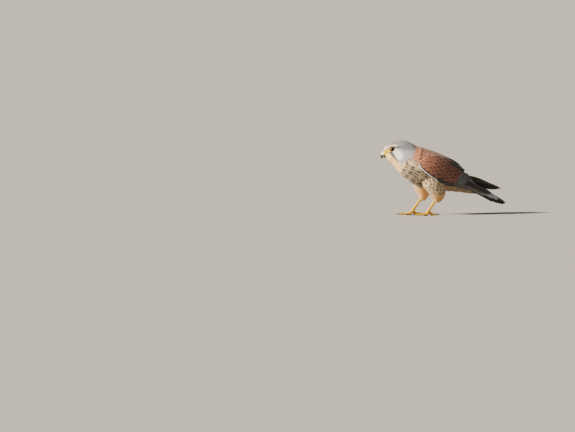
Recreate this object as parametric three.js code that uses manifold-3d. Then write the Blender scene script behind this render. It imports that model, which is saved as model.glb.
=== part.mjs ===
// Common kestrel, male, standing with the body sloped and the head turned to its right.
// Millimetres, +Z up. The bill points to -X, the tail to +X, the left side to -Y.
import * as THREE from "three";
import { mergeVertices } from "three/addons/utils/BufferGeometryUtils.js";
import Module from "manifold-3d";

const wasm = await Module();
wasm.setup();

const GAP = 0.35;                  // clear space between neighbouring nodes
const TURN_X = -45;                // the vertical line about which the head turns
const SIDES = ["left", "right"];

// Sections of head, neck and trunk from the cere back, each laid in its own upright plane:
// [top along, top height, bottom along, bottom height, half width, turn in degrees].
const TRUNK = [
  [-52.6, 143.0, -48.0, 129.4, 4.8, 18],
  [-51.0, 150.0, -44.5, 125.2, 8.5, 18],
  [-46.2, 155.9, -40.3, 121.2, 12.0, 18],
  [-38.4, 160.6, -36.6, 117.2, 15.3, 18],
  [-28.2, 163.5, -33.6, 112.8, 17.4, 18],
  [-18.0, 164.6, -29.8, 107.4, 18.8, 17],
  [-8.0, 163.6, -25.8, 102.2, 19.8, 14],
  [1.0, 160.8, -21.6, 97.2, 21.3, 10],
  [10.0, 156.8, -16.8, 92.0, 24.0, 6],
  [19.0, 152.6, -10.8, 86.2, 27.5, 2],
  [31.0, 147.8, -2.5, 79.4, 31.0, 0],
  [46.0, 141.8, 7.5, 71.8, 33.0, 0],
  [62.0, 134.4, 22.5, 63.8, 33.4, 0],
  [79.0, 125.0, 42.5, 57.6, 31.6, 0],
  [96.0, 114.0, 66.0, 54.0, 27.6, 0],
  [112.0, 102.2, 90.0, 52.0, 22.0, 0],
  [127.0, 91.4, 112.0, 50.0, 16.4, 0],
  [141.0, 81.4, 131.0, 47.5, 12.5, 0],
  [156.0, 72.0, 152.0, 44.0, 10.0, 0],
  [172.0, 62.0, 174.0, 40.0, 7.5, 0],
];
// The bed that the folded wings lie on: the trunk, then a narrowing form over the tail.
const BED_TAIL = [
  [127.0, 92.0, 112.0, 49.5, 17.0, 0],
  [143.0, 84.0, 133.0, 47.0, 13.5, 0],
  [160.0, 77.0, 153.0, 45.0, 11.0, 0],
  [178.0, 70.0, 172.0, 41.5, 9.5, 0],
  [196.0, 63.5, 191.0, 37.0, 8.5, 0],
  [214.0, 57.5, 210.0, 33.5, 8.0, 0],
  [232.0, 52.0, 229.0, 30.0, 8.0, 0],
];
const BED = [...TRUNK.slice(0, 16), ...BED_TAIL];
const HEAD_END = 6.3;              // section at which the hood ends and the neck begins
const NECK_END = 9.3;
const TRUNK_END = 17.2;
const EYE_RADIUS = 5.6;
const EYE_ALONG = -34.6;
const EYE_HEIGHT = 146.0;
const EYE_DEPTH = 11.6;            // from the middle plane of the head to the middle of the eye
// Bill sections from the root out: [along, height, half depth, half width].
const UPPER_BILL = [
  [-45.5, 137.4, 6.2, 5.8],
  [-50.0, 137.2, 5.8, 5.2],
  [-53.0, 136.1, 4.9, 4.2],
  [-55.2, 134.2, 3.8, 3.1],
  [-56.8, 131.4, 2.5, 2.1],
  [-57.6, 128.6, 1.4, 1.2],
  [-57.8, 126.0, 0.5, 0.5],
];
const LOWER_BILL = [
  [-44.0, 129.2, 2.8, 4.6],
  [-48.0, 129.2, 2.5, 3.9],
  [-51.5, 129.6, 1.9, 2.8],
  [-54.0, 130.2, 0.9, 1.4],
];
const CERE_END = -53.2;            // along, where the soft skin meets the horn
const NOSTRIL = [-51.6, 138.2, 0.8];
const MOUTH = [-46.5, 131.3];
const MOUTH_LENGTH = 9;
const SLIT = 0.6;
const LID_RADIUS = 5.0;
const LID_THICK = 0.85;
const WING_THICK = 4.0;
const VANE_THICK = 0.5;
const LEG_SPREAD = 20;             // from the middle plane to each foot
const HUB_HEIGHT = 8.6;            // height of the joint of the toes
const TARSUS_RADIUS = 2.6;
const HUB_RADIUS = 4.1;
const CLAW_TIP = 0.4;
const CLAW_STEP = 1.0;
const TAIL_PAIRS = 6;
const HAND_FEATHERS = 6;

const LEGS = {
  left: {
    hub: [-5.0, -LEG_SPREAD - 2, HUB_HEIGHT],
    ankle: [17.5, -LEG_SPREAD - 1, 41.5],
    thigh: [
      [2, -15, 84, 21, 15],
      [5, -18, 74, 24, 17],
      [9, -20, 64, 24.5, 16.5],
      [14, -21.5, 54, 21.5, 14.5],
      [17.5, -22, 44, 16.5, 11.5],
      [18, -22, 35, 11, 7.5],
      [16.5, -22, 28.5, 5.5, 4],
    ],
  },
  right: {
    hub: [-26.5, LEG_SPREAD + 1, HUB_HEIGHT],
    ankle: [-2.5, LEG_SPREAD, 41.5],
    thigh: [
      [-8, 15, 84, 21, 15],
      [-6.5, 17.5, 74, 23, 16.5],
      [-4, 19, 64, 22, 16],
      [-1.5, 20, 54, 18.5, 14],
      [-0.5, 20.5, 45, 14, 10.5],
      [-1, 20.5, 37, 9, 7],
      [-2.5, 20.5, 30.5, 4.5, 3.6],
    ],
  },
};
// Toes: heading from straight ahead in degrees, outward positive, length, radius, claw length.
const TOES = {
  1: { heading: 176, length: 14, radius: 2.3, claw: 11 },
  2: { heading: -40, length: 17, radius: 2.1, claw: 9.5 },
  3: { heading: 0, length: 27, radius: 2.1, claw: 9 },
  4: { heading: 50, length: 19, radius: 2.0, claw: 8.5 },
};

// Surfaces: [colour, roughness].
const SURFACES = {
  hood: [0x8d9198, 0.8],
  mantle: [0xa96f52, 0.8],
  breast: [0xd9c3a0, 0.85],
  coverts: [0x9c5f48, 0.75],
  blade: [0x3a3634, 0.7],
  tail: [0x8b8f94, 0.7],
  trousers: [0xd8ab72, 0.85],
  skin: [0xe8a21f, 0.45],
  claw: [0x1c1a1a, 0.3],
  horn: [0x2b2c30, 0.3],
  cere: [0xe9bf2e, 0.4],
  eye: [0x23150f, 0.05],
};

const rad = (degrees) => (degrees * Math.PI) / 180;
const mix = (a, b, f) => a + (b - a) * f;
const smooth = (a, b, x) => {
  const f = Math.min(1, Math.max(0, (x - a) / (b - a)));
  return f * f * (3 - 2 * f);
};
const point = (x, y, z) => new THREE.Vector3(x, y, z);

function catmull(a, b, c, d, f) {
  const f2 = f * f;
  const f3 = f2 * f;
  return 0.5 * (2 * b + (c - a) * f + (2 * a - 5 * b + 4 * c - d) * f2 + (3 * b - a - 3 * c + d) * f3);
}

function sample(rows, t) {
  const last = rows.length - 1;
  const i = Math.min(last - 1, Math.max(0, Math.floor(t)));
  const f = t - i;
  const at = (k) => rows[Math.min(last, Math.max(0, k))];
  return rows[0].map((_, n) => catmull(at(i - 1)[n], at(i)[n], at(i + 1)[n], at(i + 2)[n], f));
}

// A point of the body's surface: section t, angle phi in degrees from the side (up positive),
// lift outward; side is -1 for the left and 1 for the right.
function onBody(rows, t, phi, lift, side) {
  const [ta, th, ba, bh, width, turn] = sample(rows, t);
  const va = (ta - ba) / 2;
  const vh = (th - bh) / 2;
  const reach = Math.hypot(va, vh);
  const s = Math.sin(rad(phi));
  const c = Math.cos(rad(phi));
  const up = s * (1 + lift / reach);
  const along = (ta + ba) / 2 + va * up;
  const height = (th + bh) / 2 + vh * up;
  const out = side * c * (width + lift);
  const a = rad(turn);
  return point(
    TURN_X + along * Math.cos(a) + out * Math.sin(a),
    -along * Math.sin(a) + out * Math.cos(a),
    height,
  );
}

// Head-plane place: along, height, and depth toward the given side, at the head's own turn.
function onHead(along, height, out) {
  const a = rad(TRUNK[0][5]);
  return point(
    TURN_X + along * Math.cos(a) + out * Math.sin(a),
    -along * Math.sin(a) + out * Math.cos(a),
    height,
  );
}

function solidOf(positions, indices) {
  const geometry = new THREE.BufferGeometry();
  geometry.setAttribute("position", new THREE.Float32BufferAttribute(positions, 3));
  geometry.setIndex(indices);
  return toManifold(geometry);
}

function toManifold(source) {
  let geometry = source.clone();
  geometry.deleteAttribute("normal");
  geometry.deleteAttribute("uv");
  geometry = mergeVertices(geometry, 1e-4);
  const mesh = new wasm.Mesh({
    numProp: 3,
    vertProperties: new Float32Array(geometry.attributes.position.array),
    triVerts: new Uint32Array(geometry.index.array),
  });
  const solid = new wasm.Manifold(mesh);
  return solid.volume() < 0 ? flipped(mesh) : solid;
}

function flipped(mesh) {
  const turned = new Uint32Array(mesh.triVerts);
  for (let i = 0; i < turned.length; i += 3) {
    [turned[i + 1], turned[i + 2]] = [turned[i + 2], turned[i + 1]];
  }
  return new wasm.Manifold(new wasm.Mesh({
    numProp: 3, vertProperties: mesh.vertProperties, triVerts: turned,
  }));
}

// Closed form through rings of points, its two ends closed by fans.
function loft(rings) {
  const n = rings[0].length;
  const positions = [];
  const indices = [];
  for (const ring of rings) {
    for (const p of ring) {
      positions.push(p.x, p.y, p.z);
    }
  }
  for (let r = 0; r + 1 < rings.length; r++) {
    for (let k = 0; k < n; k++) {
      const a = r * n + k;
      const b = r * n + ((k + 1) % n);
      indices.push(a, b, a + n, b, b + n, a + n);
    }
  }
  for (const [ring, base, turned] of [[rings[0], 0, true], [rings.at(-1), (rings.length - 1) * n, false]]) {
    const centre = ring.reduce((sum, p) => sum.add(p), point(0, 0, 0)).multiplyScalar(1 / n);
    const c = positions.length / 3;
    positions.push(centre.x, centre.y, centre.z);
    for (let k = 0; k < n; k++) {
      const a = base + k;
      const b = base + ((k + 1) % n);
      indices.push(...(turned ? [b, a, c] : [a, b, c]));
    }
  }
  return solidOf(positions, indices);
}

// Round form along a path of places, with radii [across, upright] at each.
function limb(places, sides, radii) {
  return loft(places.map((p, i) => {
    const before = places[Math.max(0, i - 1)];
    const after = places[Math.min(places.length - 1, i + 1)];
    const way = after.clone().sub(before).normalize();
    const across = point(0, 1, 0).cross(way).lengthSq() > 0.05
      ? point(0, 1, 0).cross(way).normalize() : point(1, 0, 0);
    const other = way.clone().cross(across).normalize();
    const ring = [];
    for (let k = 0; k < sides; k++) {
      const a = (2 * Math.PI * k) / sides;
      ring.push(p.clone()
        .addScaledVector(across, Math.cos(a) * radii[i][1])
        .addScaledVector(other, Math.sin(a) * radii[i][0]));
    }
    return ring;
  }));
}

function block(centre, size, yaw = 0, pitch = 0) {
  const geometry = new THREE.BoxGeometry(...size);
  geometry.rotateY(pitch);
  geometry.rotateZ(yaw);
  geometry.translate(centre.x, centre.y, centre.z);
  return toManifold(geometry);
}

function ball(centre, radius, detail = 20) {
  const geometry = new THREE.SphereGeometry(radius, detail, Math.round(detail * 0.7));
  geometry.translate(centre.x, centre.y, centre.z);
  return toManifold(geometry);
}

function largest(solid) {
  const pieces = solid.decompose();
  pieces.sort((a, b) => b.volume() - a.volume());
  return pieces[0];
}

function flesh(lift, from, to, rings, segments) {
  const list = [];
  for (let r = 0; r <= rings; r++) {
    const t = mix(from, to, r / rings);
    const ring = [];
    for (let k = 0; k < segments; k++) {
      const a = (360 * k) / segments;
      const right = a > 90 && a < 270;
      ring.push(onBody(TRUNK, t, right ? 180 - a : a, lift, right ? 1 : -1));
    }
    list.push(ring);
  }
  return loft(list);
}

// A thin slab in the plane of section t, for parting two neighbours.
function slab(t, thickness) {
  const [ta, th, ba, bh, , turn] = sample(TRUNK, t);
  const a = rad(turn);
  const along = (ta + ba) / 2;
  const centre = point(TURN_X + along * Math.cos(a), -along * Math.sin(a), (th + bh) / 2);
  return block(centre, [thickness, 160, 220], -a, Math.atan2(ta - ba, th - bh));
}

const parts = new Map();

// Head, neck, trunk and root of the tail are one form parted at three sections.
let body = flesh(0, 0, TRUNK.length - 1, 40, 26);
for (const t of [HEAD_END, NECK_END, TRUNK_END]) {
  body = body.subtract(slab(t, GAP));
}
const pieces = body.decompose();
pieces.sort((a, b) => a.boundingBox().max[0] - b.boundingBox().max[0]);
let [head, neck, trunk, tailRoot] = pieces;

// Folded wing: a shell over the bed, between a lower and an upper edge.
const WING_FROM = 9.9;
const WING_TO = 15.4;
const LOWER_EDGE = [[9.9, 2], [10.5, -7], [12, -13], [13, -18], [14, -25], [15.4, -20]];
const UPPER_EDGE = [[9.9, 14], [10.5, 44], [12, 64], [13, 70], [14, 74], [15.4, 70]];
const FAR_RAISE = 4.0;             // the right wing is held this much higher at its rear
const curve = (rows, t) => {
  const i = rows.findIndex((row) => row[0] > t);
  if (i < 0) {
    return rows.at(-1)[1];
  }
  if (i === 0) {
    return rows[0][1];
  }
  const f = (t - rows[i - 1][0]) / (rows[i][0] - rows[i - 1][0]);
  return mix(rows[i - 1][1], rows[i][1], f * f * (3 - 2 * f));
};

// Lift of the shell's inner face: close to the body in front, over the hand's feathers behind.
function shellInner(t, out) {
  const raise = out > 0 ? FAR_RAISE * smooth(12.6, 14.6, t) : 0;
  return mix(1.0, 4.4, smooth(12.2, 13.6, t)) + 1.6 * smooth(13.9, 15.2, t) + raise;
}

function shellOuter(t, phi, out) {
  const low = curve(LOWER_EDGE, t);
  const high = curve(UPPER_EDGE, t);
  const f = Math.min(1, Math.max(0, (phi - low) / (high - low)));
  const thick = mix(WING_THICK, 3.2, smooth(13, 15.4, t)) * smooth(9.2, 10.6, t);
  return shellInner(t, out) + thick * Math.sin(Math.PI * mix(0.14, 0.86, f)) ** 0.6;
}

function wingShell(side, grow) {
  const out = side === "left" ? -1 : 1;
  const rings = [];
  const steps = 12;
  const across = 7;
  for (let i = 0; i <= steps; i++) {
    const t = mix(WING_FROM, WING_TO, i / steps);
    const low = curve(LOWER_EDGE, t) - 2 * grow;
    const high = curve(UPPER_EDGE, t) + 2 * grow;
    const ring = [];
    for (let k = 0; k <= across; k++) {
      const phi = mix(low, high, k / across);
      ring.push(onBody(BED, t, phi, shellOuter(t, phi, out) + grow, out));
    }
    for (let k = across; k >= 0; k--) {
      ring.push(onBody(BED, t, mix(low, high, k / across), shellInner(t, out) - grow, out));
    }
    rings.push(ring);
  }
  return loft(rings);
}

const VANE_STOPS = [0, 0.3, 0.7, 0.93, 1];
const vaneWidth = (a) => mix(0.6, 1, smooth(0, 0.28, a)) * Math.sqrt(1 - 0.93 * smooth(0.6, 1.02, a));

// One feather over the bed: sections and angles of root and tip, half width, and the lift at
// each place; the lower edge lies over the next feather down.
function bedVane(out, from, to, phiFrom, phiTo, half, liftAt, tilt) {
  return loft(VANE_STOPS.map((a) => {
    const t = mix(from, to, a);
    const phi = mix(phiFrom, phiTo, a);
    const [ta, th, ba, bh, width] = sample(BED, t);
    const reach = Math.hypot(ta - ba, th - bh) / 2;
    const girth = Math.hypot(reach * Math.cos(rad(phi)), width * Math.sin(rad(phi)));
    const spread = ((half * vaneWidth(a)) / girth) * (180 / Math.PI);
    const lift = liftAt(a, t, phi);
    const thick = VANE_THICK * (a === 1 ? 0.7 : 1);
    const edges = [-1, 0, 1];
    return [
      ...edges.map((s) => onBody(BED, t, phi + s * spread, lift - s * tilt + thick / 2, out)),
      ...edges.reverse().map((s) => onBody(BED, t, phi + s * spread, lift - s * tilt - thick / 2, out)),
    ];
  }));
}

// Tiers of the folded wing: [feathers, root section, tip section of the lowest and highest,
// angle range at the root, drift of the tips, half width, lift over the shell at the tip].
const TIERS = [
  [7, 13.7, 15.3, 16.5, -15, 60, 6, 6.0, 1.2],
  [6, 12.5, 14.0, 14.4, -10, 54, 5, 6.0, 1.9],
  [5, 11.4, 12.8, 13.1, -4, 48, 4, 6.0, 1.9],
  [2, 12.5, 14.4, 14.7, 64, 77, 3, 5.2, 2.2],
  [2, 11.1, 12.8, 13.1, 58, 73, 4, 5.2, 2.2],
];

function wingOf(side) {
  const out = side === "left" ? -1 : 1;
  let wing = wingShell(side, 0);
  for (const [count, root, lowTip, highTip, low, high, drift, half, rise] of TIERS) {
    for (let k = 0; k < count; k++) {
      const f = k / (count - 1);
      const phi = mix(low, high, f);
      const lift = (a, t, at) => {
        const top = shellOuter(Math.min(t, WING_TO), at, out);
        const sunk = (shellInner(Math.min(t, WING_TO), out) - top) / 2;
        return top + mix(sunk, rise, smooth(0, 0.45, a));
      };
      wing = wing.add(bedVane(out, root, mix(lowTip, highTip, f), phi, phi + drift * (0.5 - f), half, lift, 0.45));
    }
  }
  return largest(wing);
}

// Legs.
function thighOf(side, grow) {
  const rows = LEGS[side].thigh;
  return loft(rows.map(([x, y, z, a, b]) => {
    const ring = [];
    for (let k = 0; k < 20; k++) {
      const f = (2 * Math.PI * k) / 20;
      ring.push(point(x + Math.cos(f) * (a + grow), y + Math.sin(f) * (b + grow), z));
    }
    return ring;
  }));
}

function tarsusOf(side) {
  const { hub, ankle } = LEGS[side];
  const places = [];
  const radii = [];
  for (let i = 0; i <= 6; i++) {
    const f = i / 6;
    places.push(point(...hub.map((h, n) => mix(h, ankle[n], f))));
    const swell = 1.5 * Math.exp(-((f / 0.12) ** 2)) + 1.2 * Math.exp(-(((f - 1) / 0.2) ** 2));
    radii.push([TARSUS_RADIUS + swell, TARSUS_RADIUS + swell + 0.2]);
  }
  const first = point(...hub);
  return limb(places, 9, radii).add(ball(first, HUB_RADIUS, 10));
}

const floorBlock = block(point(0, 0, -50), [600, 400, 100]);

function toePath(side, number) {
  const { hub } = LEGS[side];
  const { heading, length, radius, claw } = TOES[number];
  const out = side === "left" ? -1 : 1;
  const a = rad(heading) * out;
  const way = point(-Math.cos(a), Math.sin(a), 0);
  const start = point(hub[0], hub[1], 0).addScaledVector(way, 3.4);
  return { way, start, length, radius, claw };
}

function toeOf(side, number, grow = 0) {
  const { way, start, length, radius } = toePath(side, number);
  const places = [];
  const radii = [];
  const steps = 8;
  for (let i = 0; i <= steps; i++) {
    const f = i / steps;
    const pads = 0.35 * Math.abs(Math.sin(f * Math.PI * 3));
    const r = mix(radius * 1.1, radius * 0.8, f) + pads;
    const height = mix(HUB_HEIGHT - 3.4, r - 0.35, smooth(0, 0.45, f)) ;
    places.push(start.clone().addScaledVector(way, f * length).setZ(height));
    radii.push([r + grow, r + grow]);
  }
  return limb(places, 8, radii).subtract(floorBlock);
}

function clawOf(side, number) {
  const { way, start, length, radius, claw } = toePath(side, number);
  const places = [];
  const radii = [];
  const steps = 5;
  for (let i = 0; i <= steps; i++) {
    const f = i / steps;
    const r = mix(1.6, CLAW_TIP, f ** 0.8);
    const height = mix(radius * 0.9, CLAW_TIP - 0.15, f * f) + 0.45 * claw * f * (1 - f);
    places.push(start.clone().addScaledVector(way, length + CLAW_STEP + claw * 0.9 * f).setZ(height));
    radii.push([r, r]);
  }
  return limb(places, 6, radii).subtract(floorBlock);
}

const trunkGrown = flesh(GAP, 0, TRUNK.length - 1, 40, 26);
for (const side of SIDES) {
  const thigh = largest(thighOf(side, 0).subtract(trunkGrown).subtract(wingShell(side, 0.6)));
  parts.set(`thigh_${side}`, [thigh, SURFACES.trousers]);
  const shank = tarsusOf(side);
  const tarsus = largest(shank.subtract(thighOf(side, GAP)).subtract(floorBlock));
  parts.set(`tarsus_${side}`, [tarsus, SURFACES.skin]);
  const hubGrown = ball(point(...LEGS[side].hub), HUB_RADIUS + GAP, 10);
  const middleToe = toeOf(side, 3, GAP);
  for (const number of [1, 2, 3, 4]) {
    const free = toeOf(side, number).subtract(hubGrown);
    const toe = largest(number % 2 ? free : free.subtract(middleToe));
    parts.set(`toe_${side}_${number}`, [toe, SURFACES.skin]);
    parts.set(`claw_${side}_${number}`, [clawOf(side, number), SURFACES.claw]);
  }
}

// Bill and cere.
function billOf(rows) {
  return limb(
    rows.map(([along, height]) => onHead(along, height, 0)),
    14,
    rows.map(([, , deep, wide]) => [wide, deep]),
  );
}

const headTurn = -rad(TRUNK[0][5]);
const upper = billOf(UPPER_BILL);
const headGrown = flesh(GAP, 0, 7, 14, 26);
const upperPieces = upper
  .subtract(block(onHead(CERE_END, 135, 0), [GAP, 60, 60], headTurn))
  .subtract(headGrown)
  .decompose();
upperPieces.sort((a, b) => a.boundingBox().min[0] - b.boundingBox().min[0]);
const billTip = upperPieces[0];
let cere = upperPieces.slice(1).sort((a, b) => b.volume() - a.volume())[0];
for (const out of [-1, 1]) {
  const [along, height, radius] = NOSTRIL;
  const wide = UPPER_BILL[1][3] - radius / 3;
  cere = cere.subtract(ball(onHead(along, height, out * wide), radius, 8));
}
const lowerBill = billOf(LOWER_BILL).subtract(upper.translate([0, 0, -GAP])).subtract(upper);
parts.set("cere", [largest(cere), SURFACES.cere]);
parts.set("bill_upper", [billTip, SURFACES.horn]);
parts.set("bill_lower", [largest(lowerBill.subtract(headGrown)), SURFACES.horn]);
head = head.subtract(block(onHead(...MOUTH, 0), [MOUTH_LENGTH, 60, SLIT], headTurn));

// Eyes in their sockets.
for (const side of SIDES) {
  const out = side === "left" ? -1 : 1;
  const centre = onHead(EYE_ALONG, EYE_HEIGHT, out * EYE_DEPTH);
  parts.set(`eye_${side}`, [ball(centre, EYE_RADIUS, 12), SURFACES.eye]);
  const lid = new THREE.TorusGeometry(LID_RADIUS, LID_THICK, 5, 16);
  lid.scale(1, 0.92, 1);
  lid.rotateX(Math.PI / 2);
  lid.rotateZ(headTurn + out * rad(8));
  const rim = onHead(EYE_ALONG, EYE_HEIGHT, out * (EYE_DEPTH + 3.1));
  lid.translate(rim.x, rim.y, rim.z);
  head = head.add(toManifold(lid)).subtract(ball(centre, EYE_RADIUS + GAP, 12));
}
parts.set("head", [largest(head), SURFACES.hood]);
parts.set("neck", [neck, SURFACES.mantle]);
parts.set("torso", [trunk, SURFACES.breast]);

// Long feathers of the hand, laid under the shell and out to the tip of the wing.
const HAND = {
  left: { tip: 20.0, phi: -20, lift: 0 },
  right: { tip: 20.9, phi: 36, lift: 1.2 },
};
const HAND_ROOT = 14.0;

function handOf(side) {
  const out = side === "left" ? -1 : 1;
  const { tip, phi, lift } = HAND[side];
  const rings = [0, 0.5, 1].map((f) => {
    const t = HAND_ROOT - 0.1 + 0.5 * f;
    const places = [-20, -8, 4, 16];
    return [
      ...places.map((at) => onBody(BED, t, at, 3.0, out)),
      ...places.reverse().map((at) => onBody(BED, t, at, 0.6, out)),
    ];
  });
  let hand = loft(rings);
  for (let k = 0; k < HAND_FEATHERS; k++) {
    const end = tip - (k ? 0.6 * (k - 1) : 0.3);
    const root = -16 + 6 * k;
    const rise = (a) => 1.5 + 0.36 * k + lift * a;
    const close = phi + 5 * k;
    hand = hand.add(bedVane(out, HAND_ROOT + 0.15, end, root, close, 5.6 - 0.1 * k, rise, 0.7));
  }
  return largest(hand);
}

for (const side of SIDES) {
  parts.set(`wing_${side}`, [wingOf(side), SURFACES.coverts]);
  parts.set(`primaries_${side}`, [handOf(side), SURFACES.blade]);
}

// Tail: a twisted, roof-shaped fan of six pairs of feathers, the outer ones lower and shorter.
const TAIL_ROOT = [104, 59.5];
const TAIL_TIP = [185.6, 23.5];
const TAIL_ROLL = [26, 32];
const TAIL_SPREAD = [1.9, 3.4];
const TAIL_BOW = 2.5;
const TAIL_HALF = 3.1;
const TAIL_STEP = 0.95;
const TAIL_LENGTHS = [1, 0.98, 0.94, 0.86, 0.75, 0.6];

function tailVane(side, pair) {
  const rank = side * (pair + 0.5);
  const drop = TAIL_STEP * (pair + (side > 0 ? 0.5 : -0.5));
  const way = Math.atan2(TAIL_ROOT[1] - TAIL_TIP[1], TAIL_TIP[0] - TAIL_ROOT[0]);
  return loft([0, 0.2, 0.5, 0.8, 0.95, 1].map((a) => {
    const f = a * TAIL_LENGTHS[pair];
    const roll = rad(mix(...TAIL_ROLL, f));
    const at = rank * mix(...TAIL_SPREAD, smooth(0, 0.6, f));
    const half = TAIL_HALF * mix(0.6, 1, smooth(0, 0.5, a)) * (a === 1 ? 0.35 : 1);
    const bow = TAIL_BOW * Math.sin(Math.PI * f);
    const place = (s, h) => {
      const across = at + s * half;
      const up = h - drop + bow;
      const y = across * Math.cos(roll) - up * Math.sin(roll);
      const rise = across * Math.sin(roll) + up * Math.cos(roll);
      return point(
        mix(TAIL_ROOT[0], TAIL_TIP[0], f) + rise * Math.sin(way),
        y + 2 * f,
        mix(TAIL_ROOT[1], TAIL_TIP[1], f) + rise * Math.cos(way),
      );
    };
    const h = VANE_THICK / 2;
    return [place(-1, h), place(1, h), place(1, -h), place(-1, -h)];
  }));
}

let tail = tailRoot;
for (const side of [-1, 1]) {
  for (let pair = 0; pair < TAIL_PAIRS; pair++) {
    tail = tail.add(tailVane(side, pair));
  }
}
parts.set("tail", [largest(tail.subtract(trunkGrown.intersect(trunk.translate([1, 0, 0])))), SURFACES.tail]);

const group = new THREE.Group();
group.name = "kestrel";

function addPart(name, solid, [color, roughness]) {
  const mesh = solid.getMesh();
  const geometry = new THREE.BufferGeometry();
  geometry.setAttribute("position", new THREE.Float32BufferAttribute(mesh.vertProperties, 3));
  geometry.setIndex(new THREE.BufferAttribute(new Uint32Array(mesh.triVerts), 1));
  geometry.computeVertexNormals();
  const material = new THREE.MeshStandardMaterial({ color, roughness, metalness: 0 });
  const node = new THREE.Mesh(geometry, material);
  node.name = name;
  group.add(node);
}

for (const [name, [solid, surface]] of parts) {
  addPart(name, solid, surface);
}

const bounds = new THREE.Box3().setFromObject(group);
for (const node of group.children) {
  node.geometry.translate(
    -(bounds.min.x + bounds.max.x) / 2,
    -(bounds.min.y + bounds.max.y) / 2,
    -bounds.min.z,
  );
}

export default group;
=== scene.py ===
"""Plumage, bill, eyes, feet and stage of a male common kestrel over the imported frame, in millimetres."""

from functools import partial
from math import atan2, ceil, cos, exp, hypot, pi, radians, sin, sqrt

import bmesh
import bpy
import numpy as np
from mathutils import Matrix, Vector, kdtree


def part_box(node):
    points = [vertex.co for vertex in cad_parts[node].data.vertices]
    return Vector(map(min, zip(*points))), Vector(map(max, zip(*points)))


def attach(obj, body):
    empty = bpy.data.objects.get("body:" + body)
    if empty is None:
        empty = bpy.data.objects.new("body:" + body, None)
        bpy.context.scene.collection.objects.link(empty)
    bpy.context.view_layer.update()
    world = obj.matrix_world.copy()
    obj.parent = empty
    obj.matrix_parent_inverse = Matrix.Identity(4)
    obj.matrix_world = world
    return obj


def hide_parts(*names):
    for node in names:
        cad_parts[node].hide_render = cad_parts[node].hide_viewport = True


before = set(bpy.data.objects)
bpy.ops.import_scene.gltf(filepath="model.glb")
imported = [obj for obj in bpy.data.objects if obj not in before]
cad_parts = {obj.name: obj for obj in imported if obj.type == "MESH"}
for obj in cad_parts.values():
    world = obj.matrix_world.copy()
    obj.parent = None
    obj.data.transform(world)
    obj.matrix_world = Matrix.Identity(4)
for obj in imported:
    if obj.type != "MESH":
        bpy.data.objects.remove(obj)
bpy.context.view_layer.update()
RNG = np.random.default_rng(7)
METRES = 0.001
SIDES = ((-1, "left"), (1, "right"))

# Sizes, as in the solids. A section of the body has its top and its bottom, each as along and height,
# then its half width and its turn about the neck in degrees. Places count these sections from the face.
TURN_X = -45.0
HEAD_TURN = radians(18)
TRUNK = np.array([
    [-52.6, 143, -48, 128.6, 4.8, 18], [-51, 149.4, -45.3, 123.6, 8.5, 18],
    [-45.8, 154.7, -41.3, 119.3, 12, 18], [-38, 159.7, -37.2, 116.2, 15.3, 18],
    [-28.2, 163.4, -33.6, 112.8, 17.4, 18], [-18, 165.3, -29.8, 107.4, 18.8, 17],
    [-8, 165, -25.8, 102.2, 19.8, 14], [1, 162.5, -21.6, 97.2, 21.3, 10],
    [10, 158, -16.8, 92, 24, 6], [19, 152.6, -10.8, 86.2, 27.5, 2], [31, 147.8, -2.5, 79.4, 31, 0],
    [46, 141.8, 7.5, 71.8, 33, 0], [62, 134.4, 22.5, 63.8, 33.4, 0], [79, 125, 42.5, 57.6, 31.6, 0],
    [96, 114, 66, 54, 27.6, 0], [112, 102.2, 90, 52, 22, 0], [127, 91.4, 112, 50, 16.4, 0],
    [141, 81.4, 131, 47.5, 12.5, 0], [156, 72, 152, 44, 10, 0], [172, 62, 174, 40, 7.5, 0],
])
# The bed of the folded wings follows the trunk, then runs on over the tail.
BED = np.vstack([TRUNK[:16], np.array([
    [127, 92, 112, 49.5, 17, 0], [143, 84, 133, 47, 13.5, 0], [160, 77, 153, 45, 11, 0],
    [178, 70, 172, 41.5, 9.5, 0], [196, 63.5, 191, 37, 8.5, 0], [214, 57.5, 210, 33.5, 8, 0],
    [232, 52, 229, 30, 8, 0],
])])
EYE = (-34.6, 146.0, 11.6)      # along, height, depth from the head's middle plane
EYE_RADIUS = 5.6
EYE_YAW = radians(8)
# Each section of the bill: along, height, half depth, half width.
UPPER_BILL = np.array([
    [-45.5, 137.4, 6.2, 5.8], [-50, 137.2, 5.8, 5.2], [-53, 136.1, 4.9, 4.2], [-55.2, 134, 3.9, 3.2],
    [-56.7, 130.9, 2.9, 2.3], [-57.1, 127.4, 1.9, 1.5], [-56.3, 124.2, 0.7, 0.6], [-55.9, 123.4, .05, .05],
])
LOWER_BILL = np.array([
    [-44, 129.6, 3.3, 4.9], [-48, 129.6, 3.1, 4.3], [-51.5, 129.7, 2.8, 3.3], [-54.4, 130, 1.8, 2],
    [-55.4, 130.2, 0.1, 0.1],
])
CERE_END = 1.9                  # place along the bill's sections where horn begins
NOSTRIL = (-51.2, 138.4, 1.0)   # along, height, radius
LOWER_EDGE = [(9.9, 2), (10.5, -7), (12, -13), (13, -18), (14, -25), (15.4, -20)]
UPPER_EDGE = [(9.9, 14), (10.5, 44), (12, 64), (13, 70), (14, 74), (15.4, 70)]
WING_END = 15.4
WING_DEPTH = 38                 # about the distance of the wing's surface from the body's axis
FAR_RAISE = 4.0                 # the right wing lies this much higher at its rear
HUB_HEIGHT = 8.6
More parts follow.
